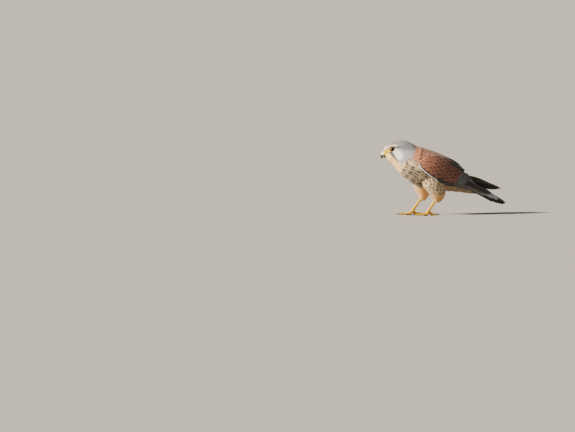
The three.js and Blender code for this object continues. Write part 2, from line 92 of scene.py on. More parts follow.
# Each section of a thigh: place x, y, z, then half length and half width.
LEGS = {
    "left": {
        "hub": (-5.0, -22.0, HUB_HEIGHT), "ankle": (17.5, -21.0, 41.5),
        "thigh": np.array([
            [2, -15, 84, 21, 15], [5, -18, 74, 24, 17], [9, -20, 64, 24.5, 16.5], [14, -21.5, 54, 21.5, 14.5],
            [17.5, -22, 44, 16.5, 11.5], [18, -22, 35, 11, 7.5], [16.5, -22, 28.5, 5.5, 4]], float),
    },
    "right": {
        "hub": (-26.5, 21.0, HUB_HEIGHT), "ankle": (-2.5, 20.0, 41.5),
        "thigh": np.array([
            [-8, 15, 84, 21, 15], [-6.5, 17.5, 74, 23, 16.5], [-4, 19, 64, 22, 16], [-1.5, 20, 54, 18.5, 14],
            [-0.5, 20.5, 45, 14, 10.5], [-1, 20.5, 37, 9, 7], [-2.5, 20.5, 30.5, 4.5, 3.6]], float),
    },
}
TOES = {1: (176, 14, 2.3, 11), 2: (-40, 17, 2.1, 9.5), 3: (0, 27, 2.1, 9), 4: (50, 19, 2.0, 8.5)}
TAIL_ROOT, TAIL_TIP = (104.0, 59.5), (185.6, 23.5)
TAIL_LENGTHS = (1, 0.98, 0.94, 0.86, 0.75, 0.6)
HAND = {"left": (20.1, -20, 0.0, 5.0), "right": (21.45, 44, 3.0, 4.2)}     # tip, angle, lift and fan
TAIL_LENGTH = 89
# The outer feathers' longer bands are partly the real band and partly painted shade along the tail's lower
# edge.
BAND_AND_SHADE_LENGTH = ([0.5, 1.5, 2.5, 3.5, 5.5], [21, 23, 33, 46, 52])     # dark band and tip, by rank in the fan


# Small tools
def mix(a, b, f):
    return a + (b - a) * f


def smooth(a, b, x):
    f = np.clip((np.asarray(x, float) - a) / (b - a), 0, 1)
    return f * f * (3 - 2 * f)


def srgb(r, g, b):
    c = np.array([r, g, b], float) / 255
    return np.where(c <= 0.04045, c / 12.92, ((c + 0.055) / 1.055) ** 2.4)


def sample(rows, t):
    """Rows at the fractional places t, by Catmull-Rom: one row of numbers for each t."""
    t = np.atleast_1d(np.asarray(t, float))
    last = len(rows) - 1
    i = np.clip(np.floor(t).astype(int), 0, last - 1)
    f = (t - i)[:, None]
    a, b, c, d = (rows[np.clip(i + k, 0, last)] for k in (-1, 0, 1, 2))
    square, cube = 2 * a - 5 * b + 4 * c - d, 3 * b - a - 3 * c + d
    return 0.5 * (2 * b + (c - a) * f + square * f ** 2 + cube * f ** 3)


def edge(rows, t):
    """The angle of the wing's edge at section t."""
    xs, ys = zip(*rows)
    t = np.clip(np.asarray(t, float), xs[0], xs[-1])
    i = np.clip(np.searchsorted(xs, t, side="right") - 1, 0, len(xs) - 2)
    xs, ys = np.array(xs), np.array(ys, float)
    return mix(ys[i], ys[i + 1], smooth(0, 1, (t - xs[i]) / (xs[i + 1] - xs[i])))


def to_line(x, y, line):
    """Distance from each place to a bent line."""
    best = np.full(np.shape(x), 1e9)
    for (ax, ay), (bx, by) in zip(line, line[1:]):
        dx, dy = bx - ax, by - ay
        f = np.clip(((x - ax) * dx + (y - ay) * dy) / (dx * dx + dy * dy), 0, 1)
        best = np.minimum(best, np.hypot(x - ax - f * dx, y - ay - f * dy))
    return best


# Surfaces that the feathers lie on
def about_neck(along, height, out, c, s):
    """Points turned about the neck's axis by an angle with cosine c and sine s."""
    return np.stack([TURN_X + along * c + out * s, -along * s + out * c, height], -1)


def on_body(rows, t, phi, lift, side):
    """Points at section t, angle phi up from the side in degrees, lift outward, side -1 left or 1 right."""
    ta, th, ba, bh, width, turn = sample(rows, t).T
    va, vh = (ta - ba) / 2, (th - bh) / 2
    s, c = np.sin(np.radians(phi)), np.cos(np.radians(phi))
    up = s * (1 + lift / np.hypot(va, vh))
    along, height = (ta + ba) / 2 + va * up, (th + bh) / 2 + vh * up
    out = side * c * (width + lift)
    a = np.radians(turn)
    return about_neck(along, height, out, np.cos(a), np.sin(a))


def on_head(along, height, out):
    along, height, out = np.broadcast_arrays(*(np.asarray(v, float) for v in (along, height, out)))
    return about_neck(along, height, out, cos(HEAD_TURN), sin(HEAD_TURN))


place_trunk = partial(on_body, TRUNK)
place_bed = partial(on_body, BED)


def edges(t):
    return edge(LOWER_EDGE, t), edge(UPPER_EDGE, t)


def shell_inner(t, side):
    raised = np.where(side > 0, FAR_RAISE * smooth(12.6, 14.6, t), 0)
    return mix(1.0, 4.4, smooth(10.6, 14.4, t)) + 1.6 * smooth(13.9, 15.2, t) + raised


def shell_outer(t, phi, side):
    low, high = edges(t)
    f = np.clip((phi - low) / (high - low), 0, 1)
    thick = mix(4.0, 3.2, smooth(13, 15.4, t)) * smooth(8.6, 11.6, t)
    return shell_inner(t, side) + thick * np.sin(pi * mix(0.14, 0.86, f)) ** 0.6


def place_wing(t, phi, lift, side):
    """Over the folded wing's shell; past its end the surface runs on level."""
    return on_body(BED, t, phi, shell_outer(np.minimum(t, WING_END), phi, side) + lift, side)


def place_thigh(u, angle, lift, side):
    left, right = (sample(LEGS[name]["thigh"], u) for _, name in SIDES)
    x, y, z, a, b = np.where(np.asarray(side)[:, None] < 0, left, right).T
    f = np.radians(angle)
    return np.stack([x + np.cos(f) * (a + lift), y + np.sin(f) * (b + lift), z], 1)


def place_tail(f, across, lift, rank):
    """Over the tail's fan: f from root to tip, across from the shaft, rank the feather's place in the fan."""
    drop = 0.95 * (np.abs(rank) - 0.5 + 0.5 * np.sign(rank))
    roll = np.radians(mix(26, 32, f))
    at = rank * mix(1.9, 3.4, smooth(0, 0.6, f)) + across
    up = lift - drop + 2.5 * np.sin(pi * np.clip(f, 0, 1))
    way = atan2(TAIL_ROOT[1] - TAIL_TIP[1], TAIL_TIP[0] - TAIL_ROOT[0])
    y = at * np.cos(roll) - up * np.sin(roll)
    rise = at * np.sin(roll) + up * np.cos(roll)
    return np.stack([
        mix(TAIL_ROOT[0], TAIL_TIP[0], f) + rise * sin(way), y + 2 * f,
        mix(TAIL_ROOT[1], TAIL_TIP[1], f) + rise * cos(way)], 1)


def per_section(place, t, phi, side):
    """How long one section is at each place."""
    step, level = 0.02, np.zeros(len(t))
    return np.linalg.norm(place(t + step, phi, level, side) - place(t, phi, level, side), axis=1) / step


def eye_middle(side):
    return on_head(EYE[0], EYE[1], side * EYE[2])


low_corner, high_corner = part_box("eye_left")
SHIFT = np.array((low_corner + high_corner) / 2) * 1000 - eye_middle(-1)


def picture(points):
    """Where points fall on the side view that the markings are named in: u to the tail, v up."""
    return points @ np.array([0.951, -0.309, 0.0]), points @ np.array([0.0162, 0.0498, 0.9986])


def left_view(t, phi):
    """Where the trunk's left side falls on the side view, also for markings of the right side."""
    return picture(place_trunk(t, phi, 0, -1.0))


def head_place(u, v):
    """From the side view to along and height on the head."""
    return u + 42.8, v + 1.6


def in_lore(along, z):
    """The bare skin between cere and eye."""
    top = np.interp(along, [-53, -47, -42, -37], [141.5, 144, 149.5, 150.5])
    bottom = np.interp(along, [-53, -46.5, -43, -39, -37], [134.5, 132.5, 137.5, 142.5, 142.5])
    return (along < -37.5) & (z < top) & (z > bottom)


def under_wing(t, phi):
    low, high = edges(t)
    return (t > 10.25) & (t < 15.3) & (phi > low + 4) & (phi < high - 5)


# Meshes
def link(name, data):
    obj = bpy.data.objects.new(name, data)
    bpy.context.scene.collection.objects.link(obj)
    return obj


def dress(obj, material, slot, *nodes):
    """Gives a piece its material, hides the frame's parts named in nodes and hangs it under the root; slot is
    not used.
    """
    obj.data.materials.append(material)
    if nodes:
        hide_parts(*nodes)
    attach(obj, "root")


def make(name, points, faces):
    """A smooth mesh from points in millimetres and equal faces."""
    mesh = bpy.data.meshes.new(name)
    n, k = faces.shape
    mesh.vertices.add(len(points))
    mesh.vertices.foreach_set("co", ((points + SHIFT) * METRES).astype(np.float32).ravel())
    mesh.loops.add(n * k)
    mesh.loops.foreach_set("vertex_index", faces.astype(np.int32).ravel())
    mesh.polygons.add(n)
    mesh.polygons.foreach_set("loop_start", np.arange(0, n * k, k, dtype=np.int32))
    mesh.update(calc_edges=True)
    mesh.validate()
    mesh.shade_smooth()
    return link(name, mesh)


def colour(obj, name, values):
    """Colours of the points, of three or four numbers each."""
    layer = obj.data.color_attributes.new(name, "FLOAT_COLOR", "POINT")
    if values.shape[1] == 3:
        values = np.hstack([values, np.ones((len(values), 1))])
    layer.data.foreach_set("color", values.astype(np.float32).ravel())


def grade(obj, values):
    """One number for each point, which the materials read as place."""
    colour(obj, "place", np.asarray(values, float)[:, None] * np.ones((1, 3)))


def uv(obj, name, values):
    layer = obj.data.uv_layers.new(name=name)
    index = np.empty(len(obj.data.loops), np.int32)
    obj.data.loops.foreach_get("vertex_index", index)
    layer.data.foreach_set("uv", values.astype(np.float32)[index].ravel())


def grid_faces(rows, columns, wrap=False):
    """Quads of a sheet with rows x columns points, closed round the columns if wrap."""
    r, c = np.meshgrid(np.arange(rows - 1), np.arange(columns if wrap else columns - 1), indexing="ij")
    r, c = r.ravel(), c.ravel()
    d = (c + 1) % columns
    return np.stack([r * columns + c, r * columns + d, (r + 1) * columns + d, (r + 1) * columns + c], 1)


def form(name, rings):
    """A closed form through rings of points, capped at both ends."""
    rings = np.asarray(rings)
    r, c, _ = rings.shape
    faces = grid_faces(r, c, wrap=True).tolist()
    faces += [list(range(c))[::-1], list(range((r - 1) * c, r * c))]
    mesh = bpy.data.meshes.new(name)
    mesh.from_pydata(((rings.reshape(-1, 3) + SHIFT) * METRES).tolist(), [], faces)
    return link(name, mesh)


def fuse(objects, name, voxel, rounds):
    """Joins closed forms and remeshes them into one even surface."""
    bm = bmesh.new()
    for o in objects:
        bm.from_mesh(o.data)
        bpy.data.objects.remove(o)
    bmesh.ops.recalc_face_normals(bm, faces=bm.faces)
    mesh = bpy.data.meshes.new(name)
    bm.to_mesh(mesh)
    bm.free()
    obj = link(name, mesh)
    remesh = obj.modifiers.new("Remesh", "REMESH")
    remesh.mode = "VOXEL"
    remesh.voxel_size = voxel * METRES
    relax = obj.modifiers.new("Smooth", "SMOOTH")
    relax.iterations = rounds
    relax.factor = 0.5
    final = bpy.data.meshes.new_from_object(obj.evaluated_get(bpy.context.evaluated_depsgraph_get()))
    bpy.data.objects.remove(obj)
    final.shade_smooth()
    return link(name, final)


def points_of(obj):
    co = np.empty(len(obj.data.vertices) * 3, np.float32)
    obj.data.vertices.foreach_get("co", co)
    return co.reshape(-1, 3)


def outline(a, blunt):
    """Half width of a vane along its length: narrow root, broad middle, round tip."""
    root = mix(0.5, 1, smooth(0, 0.35, a))
    tip = np.sqrt(np.clip(1 - (np.clip(a - blunt, 0, 1) / (1 - blunt)) ** 2, 0, 1))
    return root * mix(0.16, 1, tip)


class Coat:
    """Feathers gathered into one mesh. Every vane keeps its own colour, mark and size for the materials."""

    def __init__(self):
        self.points, self.faces, self.tints, self.marks, self.sizes, self.vane = [], [], [], [], [], []
        self.bake, self.roots, self.count = [], [], 0

    def add(self, place, u0, v0, u1, v1, half, extra, tint, mark, low, high, along=5, across=4, cup=0.25,
            ragged=0.0, blunt=0.55, rise=0.8, bake=None, shaft=0.0, lift=None):
        """One vane for each entry of the arrays, from (u0, v0) to (u1, v1) over the surface `place`.
        low and high are the lift at root and tip, mark is (strength, half width, place, half length)."""
        n = len(u0)
        full = lambda v: np.broadcast_to(np.asarray(v, float), (n,)).reshape(n, 1, 1)
        u0, v0, u1, v1, half, extra, low, high = (full(v) for v in (u0, v0, u1, v1, half, extra, low, high))
        s = np.linspace(-1, 1, across + 1)
        if shaft:
            s = np.sort(np.concatenate([s[s != 0], [-0.06, 0, 0.06]]))
        A, S = np.meshgrid(np.linspace(0, 1, along + 1) ** 0.85, s, indexing="ij")
        na, ns = A.shape
        U = u0 + (u1 - u0) * A * (1 - 0.035 * S ** 2)
        V = v0 + (v1 - v0) * A
        over = lambda v: np.broadcast_to(v, U.shape).reshape(-1, 1)
        E = over(extra).ravel()
        level = np.zeros(U.size)
        nudge = 0.01
        aside = place(U.ravel(), (V + nudge).ravel(), level, E) - place(U.ravel(), V.ravel(), level, E)
        per = np.maximum(np.linalg.norm(aside, axis=1) / nudge, 1e-4).reshape(U.shape)
        w = half * outline(A, blunt)
        if ragged:
            jag = RNG.uniform(-1, 1, U.shape) * ragged
            w = w * (1 + jag * (np.abs(S) > 0.9))
            U = U + (u1 - u0) * jag * 0.5 * (A > 0.97)
        V = V + S * w / per
        h = low + (high - low) * A ** rise - cup * S ** 2 * half * smooth(0, 0.5, A)
        if shaft:
            h = h + shaft * np.maximum(0, 1 - np.abs(S) / 0.06) * (1 - 0.7 * A)
        if lift:
            h = h + lift(A, S)
        P = place(U.ravel(), V.ravel(), h.ravel(), E)
        shafts = P.reshape(n, na, ns, 3)[:, :, ns // 2]
        length = np.linalg.norm(shafts[:, -1] - shafts[:, 0], axis=1)
        self.points.append(P)
        first = self.count + np.arange(n)[:, None, None] * na * ns
        self.faces.append((grid_faces(na, ns) + first).reshape(-1, 4))
        self.count += len(P)
        each = lambda v: np.repeat(v, na * ns, axis=0)
        tint = np.broadcast_to(tint, (n, 3)) * (1 + RNG.normal(0, 0.05, (n, 1)))
        near_edge = np.maximum(np.abs(S), smooth(0.8, 1.0, A))
        self.tints.append(np.hstack([each(tint), over(near_edge)]))
        self.marks.append(each(np.broadcast_to(mark, (n, 4))))
        self.sizes.append(each(np.stack([length / 100, half.ravel() / 100, RNG.random(n), np.ones(n)], 1)))
        self.vane.append(np.hstack([over(0.5 + 0.5 * S), over(A)]))
        if bake is not None:
            self.bake.append(each(bake) + 0.003 * (self.vane[-1] - 0.5))
        self.roots.append(np.hstack([shafts[:, na // 2], tint]))
        return self

    def build(self, name, material, slot, *nodes):
        obj = make(name, np.vstack(self.points), np.vstack(self.faces))
        for layer, values in (("tint", self.tints), ("mark", self.marks), ("size", self.sizes)):
            colour(obj, layer, np.vstack(values))
        uv(obj, "Vane", np.vstack(self.vane))
        uv(obj, "OFBake", np.vstack(self.bake) if self.bake else self.cells())
        dress(obj, material, slot, *nodes)
        return np.vstack(self.roots)

    def cells(self):
        """Each vane in its own cell of a square sheet."""
        side = ceil(sqrt(sum(len(r) for r in self.roots)))
        out, k = [], 0
        for roots, vane in zip(self.roots, self.vane):
            n = len(roots)
            cell = np.repeat(np.arange(k, k + n), len(vane) // n)
            out.append((np.stack([cell % side, cell // side], 1) + 0.04 + 0.92 * vane) / side)
            k += n
        return np.vstack(out)


# Materials
class Nodes:
    """Short spellings for a material's node tree."""

    def __init__(self, name):
        self.material = bpy.data.materials.new(name)
        self.material.use_nodes = True
        self.tree = self.material.node_tree
        self.shader = self.tree.nodes["Principled BSDF"]

    def node(self, kind, **values):
        node = self.tree.nodes.new("ShaderNode" + kind)
        for key, value in values.items():
            setattr(node, key, value)
        return node

    def plug(self, socket, value):
        if isinstance(value, bpy.types.NodeSocket):
            self.tree.links.new(value, socket)
        elif isinstance(value, (tuple, list, np.ndarray)):
            value = tuple(float(v) for v in value)
            socket.default_value = value + (1.0,) * (len(socket.default_value) - len(value))
        else:
            socket.default_value = value

    def math(self, operation, a, b=0.0, c=0.0):
        node = self.node("Math", operation=operation)
        for socket, value in zip(node.inputs, (a, b, c)):
            self.plug(socket, value)
        return node.outputs[0]

    def times(self, a, b):
        return self.math("MULTIPLY", a, b)

    def line(self, a, b, c):
        return self.math("MULTIPLY_ADD", a, b, c)

    def step(self, value, low, high):
        node = self.node("MapRange", interpolation_type="SMOOTHSTEP")
        for socket, v in zip(node.inputs, (value, low, high, 0.0, 1.0)):
            self.plug(socket, v)
        return node.outputs[0]

    def blend(self, factor, a, b, mode="MIX"):
        node = self.node("Mix", data_type="RGBA", blend_type=mode)
        for key, value in (("Factor", factor), ("A", a), ("B", b)):
            self.plug(node.inputs[key], value)
        return node.outputs["Result"]

    def attribute(self, name):
        return self.node("Attribute", attribute_name=name)

    def split(self, vector):
        node = self.node("SeparateXYZ")
        self.plug(node.inputs[0], vector)
        return node.outputs

    def place(self):
        """The number that grade() gave each point."""
        return self.split(self.attribute("place").outputs["Vector"])[0]

    def texture(self, kind, scale, **values):
        """A texture in the object's own space, in cells or waves for each metre."""
        node = self.node(kind, **values)
        node.inputs["Scale"].default_value = scale
        self.plug(node.inputs["Vector"], self.node("TexCoord").outputs["Object"])
        return node

    def noise(self, scale, detail):
        node = self.texture("TexNoise", scale)
        node.inputs["Detail"].default_value = detail
        return node.outputs["Fac"]

    def mottle(self, grain, a, b, high=0.7):
        """Two tones mixed by noise."""
        return self.blend(self.step(grain, 0.3, high), a, b)

    def bump(self, height, strength, distance):
        node = self.node("Bump")
        for key, value in (("Strength", strength), ("Distance", distance), ("Height", height)):
            self.plug(node.inputs[key], value)
        return node.outputs[0]

    def finish(self, base, roughness, normal, **fixed):
        fixed.update(Base_Color=base, Roughness=roughness)
        if normal is not None:
            fixed["Normal"] = normal
        for key, value in fixed.items():
            self.plug(self.shader.inputs[key.replace("_", " ")], value)
        return self.material


INK = srgb(34, 26, 24)
STREAK = srgb(44, 33, 27)
DARK = srgb(50, 46, 47)
CREAM = srgb(220, 198, 162)
BUFF = srgb(222, 166, 98)
CHESTNUT = srgb(140, 92, 74)
ORANGE = srgb(202, 134, 94)
SLATE = srgb(124, 126, 130)
LILAC = srgb(144, 136, 136)
SILVER = srgb(254, 250, 242)
GREY = srgb(128, 130, 138)
YELLOW = srgb(228, 181, 0)
PLAIN = (0.0, 0.0, 0.0, 0.0)    # the mark of a feather with no drop
FULL_TURN = 6.283


def feather_material(name, fringe, fringe_share, shaft_share, fringe_at=0.86, bars=None, band=None,
                     pitch=0.3, rough=0.72):
    """Barbs, shaft, one drop or streak, pale fringe, and bars or the tail's band where asked for."""
    m = Nodes(name)
    x, a, _ = m.split(m.node("UVMap", uv_map="Vane").outputs[0])
    s = m.math("ABSOLUTE", m.line(x, 2.0, -1.0))
    tint, mark, size = m.attribute("tint"), m.attribute("mark"), m.attribute("size")
    length, half, _ = m.split(size.outputs["Vector"])
    strength, wide, at = m.split(mark.outputs["Vector"])
    fine = m.noise(900.0, 2.0)
    coarse = m.noise(140.0, 3.0)
    # Barbs leave the shaft forward and outward.
    barb = m.times(m.math("SUBTRACT", m.times(a, length), m.times(s, half)), 100 / pitch)
    barb = m.math("SINE", m.line(barb, FULL_TURN, m.times(fine, 5.0)))
    base = m.blend(m.line(barb, 0.03, 0.03), tint.outputs["Color"], (0.12, 0.10, 0.09), "MULTIPLY")
    base = m.blend(m.times(m.step(coarse, 0.35, 0.75), 0.22), base, (1.25, 1.2, 1.15), "MULTIPLY")
    # The shaft, then the fringe at the margin.
    line = m.math("SUBTRACT", 1.0, m.step(s, 0.02, 0.09))
    base = m.blend(m.times(line, shaft_share), base, (0.06, 0.04, 0.03))
    rim = m.math("ADD", tint.outputs["Alpha"], m.line(fine, 0.12, -0.06))
    base = m.blend(m.times(m.step(rim, fringe_at, fringe_at + 0.1), fringe_share), base, fringe)
    if bars:
        count, width, share = bars
        wave = m.math("SINE", m.line(a, count * FULL_TURN, m.times(coarse, 2.0)))
        inside = m.times(m.step(wave, width, width + 0.2), m.step(s, 0.1, 0.25))
        base = m.blend(m.times(inside, share), base, INK)
    # Drop or streak: a soft oval, drawn out toward the root.
    off = m.math("SUBTRACT", m.math("ADD", a, m.line(fine, 0.24, -0.12)), at)
    oval = m.math("POWER", m.math("DIVIDE", off, mark.outputs["Alpha"]), 2.0)
    narrow = m.times(wide, m.line(m.math("SUBTRACT", a, at), 1.4, 1.0))
    cross = m.math("POWER", m.math("DIVIDE", s, m.math("MAXIMUM", narrow, 0.03)), 2.0)
    drop = m.step(m.math("ADD", oval, cross), 1.15, 0.7)
    base = m.blend(m.times(drop, strength), base, INK)
    if band:
        end, white = band
        place = m.line(fine, 0.02, a)
        past = m.step(m.math("SUBTRACT", place, at), 0.0, 0.025)
        base = m.blend(m.times(past, m.step(place, end + 0.012, end)), base, INK)
        base = m.blend(m.step(place, end, end + 0.015), base, white)
    height = m.line(fine, 0.5, m.times(barb, 0.5))
    return m.finish(base, m.line(coarse, 0.14, rough - 0.07), m.bump(height, 0.3, 0.00015),
                    Sheen_Weight=0.25, Sheen_Roughness=0.5, Specular_IOR_Level=0.25)


def flat(name, base, other, rough, scale, strength=0.3, distance=0.0003, high=0.7, dark=None, vary=0.2,
         **fixed):
    """Two tones mixed by noise, a third one where place says so, and a fine bump."""
    m = Nodes(name)
    grain = m.noise(scale, 4.0)
    tone = m.mottle(grain, base, other, high)
    if dark is not None:
        tone = m.blend(m.place(), tone, dark)
    if vary:
        rough = m.line(grain, vary, rough - vary / 2)
    return m.finish(tone, rough, m.bump(grain, strength, distance), **fixed)


def skin_material():
    m = Nodes("skin")
    pores = m.noise(1400.0, 3.0)
    base = m.blend(m.times(pores, 0.4), m.attribute("tint").outputs["Color"], (0.75, 0.7, 0.65), "MULTIPLY")
    return m.finish(base, 0.6, m.bump(pores, 0.4, 0.0003), Specular_IOR_Level=0.2)


def horn_material():
    """Yellowish at the cere, then pale, then blackish toward the hook."""
    m = Nodes("horn")
    far = m.place()
    grain = m.noise(500.0, 4.0)
    tone = m.blend(m.step(far, 0.0, 0.14), srgb(224, 200, 60), srgb(232, 224, 196))
    tone = m.blend(m.step(m.line(grain, 0.12, far), 0.24, 0.46), tone, srgb(26, 26, 30))
    return m.finish(tone, m.line(grain, 0.15, 0.32), m.bump(grain, 0.15, 0.0002), Coat_Weight=0.12)


def eye_material():
    """Black pupil, dark brown iris, darker rim."""
    m = Nodes("eye")
    ringed = m.place()
    iris = m.mottle(m.noise(700.0, 4.0), srgb(52, 27, 10), srgb(24, 12, 6))
    tone = m.blend(m.step(ringed, 0.28, 0.31), srgb(4, 3, 3), iris)
    tone = m.blend(m.step(ringed, 0.52, 0.6), tone, srgb(12, 8, 7))
    return m.finish(tone, 0.24, None, Coat_Weight=0.06, Coat_Roughness=0.06, Specular_IOR_Level=0.2)


def scale_material():
    """Scales of the legs, with darker creases."""
    m = Nodes("leg_scales")
    cells = m.texture("TexVoronoi", 900.0, feature="DISTANCE_TO_EDGE")
    crease = m.step(cells.outputs["Distance"], 0.0, 0.12)
    grain = m.noise(260.0, 4.0)
    tone = m.mottle(grain, srgb(228, 184, 0), srgb(212, 160, 0))
    tone = m.blend(m.line(crease, -0.5, 0.5), tone, srgb(170, 92, 16))
    relief = m.bump(m.line(grain, 0.4, crease), 0.5, 0.0003)
    return m.finish(tone, 0.42, relief, Subsurface_Weight=0.08)


HEAD_FEATHER = feather_material("hood_feather", srgb(205, 205, 212), 0.2, 0.15, pitch=0.22)
BODY_FEATHER = feather_material("body_feather", srgb(246, 236, 214), 0.3, 0.2)
WING_FEATHER = feather_material("covert_feather", srgb(176, 122, 96), 0.2, 0.3)
LONG_FEATHER = feather_material("flight_feather", srgb(180, 172, 162), 0.55, 0.8, fringe_at=0.89, rough=0.6)
TERTIAL = feather_material("tertial_feather", srgb(232, 208, 180), 0.9, 0.7, fringe_at=0.84,
                           bars=(4.0, 0.55, 0.2), rough=0.62)
TAIL_FEATHER = feather_material("tail_feather", srgb(190, 192, 198), 0.35, 0.7, fringe_at=0.9,
                                band=(0.975, srgb(236, 234, 230)), rough=0.6)
DOWN = flat("down", srgb(110, 74, 60), srgb(70, 52, 46), 0.85, 700.0)
HORN = horn_material()
EYE_GLASS = eye_material()
# Waxy yellow skin, with painted shade inside the nostril, and dark along the lids.
WAX = flat("cere", srgb(222, 192, 0), srgb(204, 168, 0), 0.38, 900.0, 0.2, 0.0002, 0.75, srgb(40, 24, 12), 0,
           Subsurface_Weight=0.1, Specular_IOR_Level=0.3)
LID = flat("lid", srgb(220, 188, 0), srgb(190, 154, 4), 0.45, 1500.0, 0.5, dark=srgb(40, 26, 14), vary=0,
           Specular_IOR_Level=0.25)
SCALES = scale_material()
CLAW = flat("claw_horn", srgb(30, 27, 27), srgb(64, 58, 54), 0.24, 260.0, 0.2, 0.0002, Coat_Weight=0.4)

# Markings, named on the side view
MOUSTACHE = [(-37.0, 139.6), (-33.5, 134), (-29.8, 129), (-21, 118.5)]
BROW = [(-47, 148.5), (-41, 153.0), (-31, 155.4), (-24, 154.6)]
EYE_STRIPE = [(-29, 151), (-15.5, 150.5)]
THROAT_TOP = ([-50, -43, -37, -30, -21, -8], [134, 137, 138, 128, 117.5, 108])
HOOD_END = ([111, 116.5, 125.3, 131.9, 139.6, 153.9, 165], [-57, -46.5, -35, -29.5, -25.5, -24.5, -24.5])


def painter(c):
    """A call that blends a tone into the rows of c, by a share for each row."""
    def put(share, tone):
        c[:] = mix(c, tone, np.clip(share, 0, 1)[:, None])
    return put


def hood_share(u, v):
    return smooth(-1.2, 1.2, np.interp(v, *HOOD_END) - u + RNG.normal(0, 1.5, np.shape(u)))


def chance(a, b):
    """A number from 0 to 1 that only depends on two whole numbers."""
    return np.modf(np.abs(np.sin(a * 12.9898 + b * 78.233)) * 43758.5453)[0]


def head_colours(u, v):
    """Colour of the hood by place on the side view."""
    along, z = head_place(u, v)
    c = np.tile(LILAC, (len(u), 1))
    put = painter(c)
    put(smooth(-22, -4, along), SLATE)
    put(smooth(148, 138, z) * smooth(-40, -30, along) * 0.7, srgb(186, 186, 196))
    put(smooth(17, 5, np.hypot(along + 22, (z - 132) * 0.9)), SILVER)
    put(smooth(1.0, -1.5, z - np.interp(along, *THROAT_TOP)), srgb(255, 216, 134))
    put(smooth(-45.5, -49.5, along) * smooth(138, 144, z), srgb(232, 212, 168))
    put(0.65 * smooth(2.3, 1.0, to_line(along, z, BROW)), srgb(250, 238, 214))
    put(0.95 * smooth(2.6, 1.0, to_line(along, z, EYE_STRIPE)), srgb(66, 60, 62))
    c *= (1 + 0.08 * np.sin(1.3 * along + 0.9 * z) * np.sin(1.1 * z - 0.7 * along))[:, None]
    dull = chance(np.round(along / 2.4 + 0.35 * z), np.round(z / 1.3)) < 0.22
    c *= (1 - 0.3 * dull * smooth(-40, -30, along))[:, None]
    fade = mix(0.7, 0.95, smooth(118, 134, z))
    width = mix(3.2, 5.2, smooth(120, 136, z))
    put(fade * smooth(width, 1.2, to_line(along, z, MOUSTACHE)), srgb(66, 61, 63))
    return c


def spots(t, phi, gap_t, gap_phi, share, half_t, half_phi):
    """How dark each place is under rows of drops or streaks drawn on the surface itself."""
    row = np.round(t / gap_t)
    shift = 0.5 * (row % 2)
    column = np.round(phi / gap_phi - shift)
    there = chance(row, column) < share
    dt = t - (row + 0.5 * (chance(row + 31, column) - 0.5)) * gap_t
    dp = phi - (column + shift + 0.45 * (chance(row, column + 57) - 0.5)) * gap_phi
    taper = 1 + 0.5 * dt / half_t
    return there * smooth(1.2, 0.75, np.hypot(dt / half_t, dp / (half_phi * np.clip(taper, 0.4, 1.3))))


def trunk_colours(t, phi, u, v):
    """Base colour and mark of each body feather."""
    back = smooth(0, 12, phi) * smooth(5, 7.5, t)
    c = mix(CREAM, BUFF, (0.75 * smooth(12.2, 14.5, t) + 0.16)[:, None])
    put = painter(c)
    c *= (1 - 0.22 * smooth(9.0, 11.5, t))[:, None]
    # painted shade: toward the rear the underparts turn brownish over their own pale buff
    put(smooth(12.6, 13.8, t), srgb(146, 120, 86))
    put(back, ORANGE)
    put(back * smooth(9.5, 11.5, t) * 0.6, CHESTNUT)
    put(smooth(13.2, 14.4, t) * smooth(0, 20, phi), GREY)
    hood = hood_share(u, v) * smooth(9.2, 8.6, t)
    put(hood, head_colours(u, v))
    # On the lower front of the breast the streaks grow denser and the base colour darker; the darkening is
    # partly the dense streaking, partly painted shade.
    dense_and_shaded = smooth(-5, -35, phi) * smooth(7.4, 8.4, t) * smooth(12.6, 11.6, t)
    c *= (1 - 0.32 * dense_and_shaded)[:, None]
    streaks = spots(t, phi, 1.35, 10.5, 0.95 * smooth(12.9, 11.9, t), 0.6 + 0.06 * dense_and_shaded, 2.5 + 1.3 * dense_and_shaded)
    specks = spots(t, phi, 0.56, 12.0, 0.85 * smooth(11.0, 11.6, t), 0.2, 3.6)
    front = (1 - back) * (1 - hood) * smooth(6.4, 7.6, t + 0.02 * (phi + 60)) * smooth(14.2, 13.0, t)
    put(np.maximum(streaks, specks) * front, STREAK)
    mark = np.tile((0.0, 0.0, 0.0, 0.4), (len(t), 1))
    fine = hood > 0.5
    mark[fine] = (0.0, 0.12, 0.7, 0.4)
    mark[fine & (np.abs(phi) > 40), 0] = 0.18
    return c, mark


# Plumage of head, neck and trunk
OVERLAP = 4.6                   # a body feather's length, in steps between rows
BODY_VANE = dict(cup=0.3, blunt=0.3, rise=0.45)
round_head = lambda t: 0.5 + 0.45 * smooth(2.5, 7, t)
along_head = lambda t: 0.62 + 0.5 * smooth(2.5, 7, t)
deep_head = lambda t: 0.7 + 0.9 * smooth(0, 3, t)
round_body = lambda t: 0.95 + 0.35 * smooth(7, 11, t)
along_body = lambda t: 1.15 + 0.55 * smooth(7, 11, t)


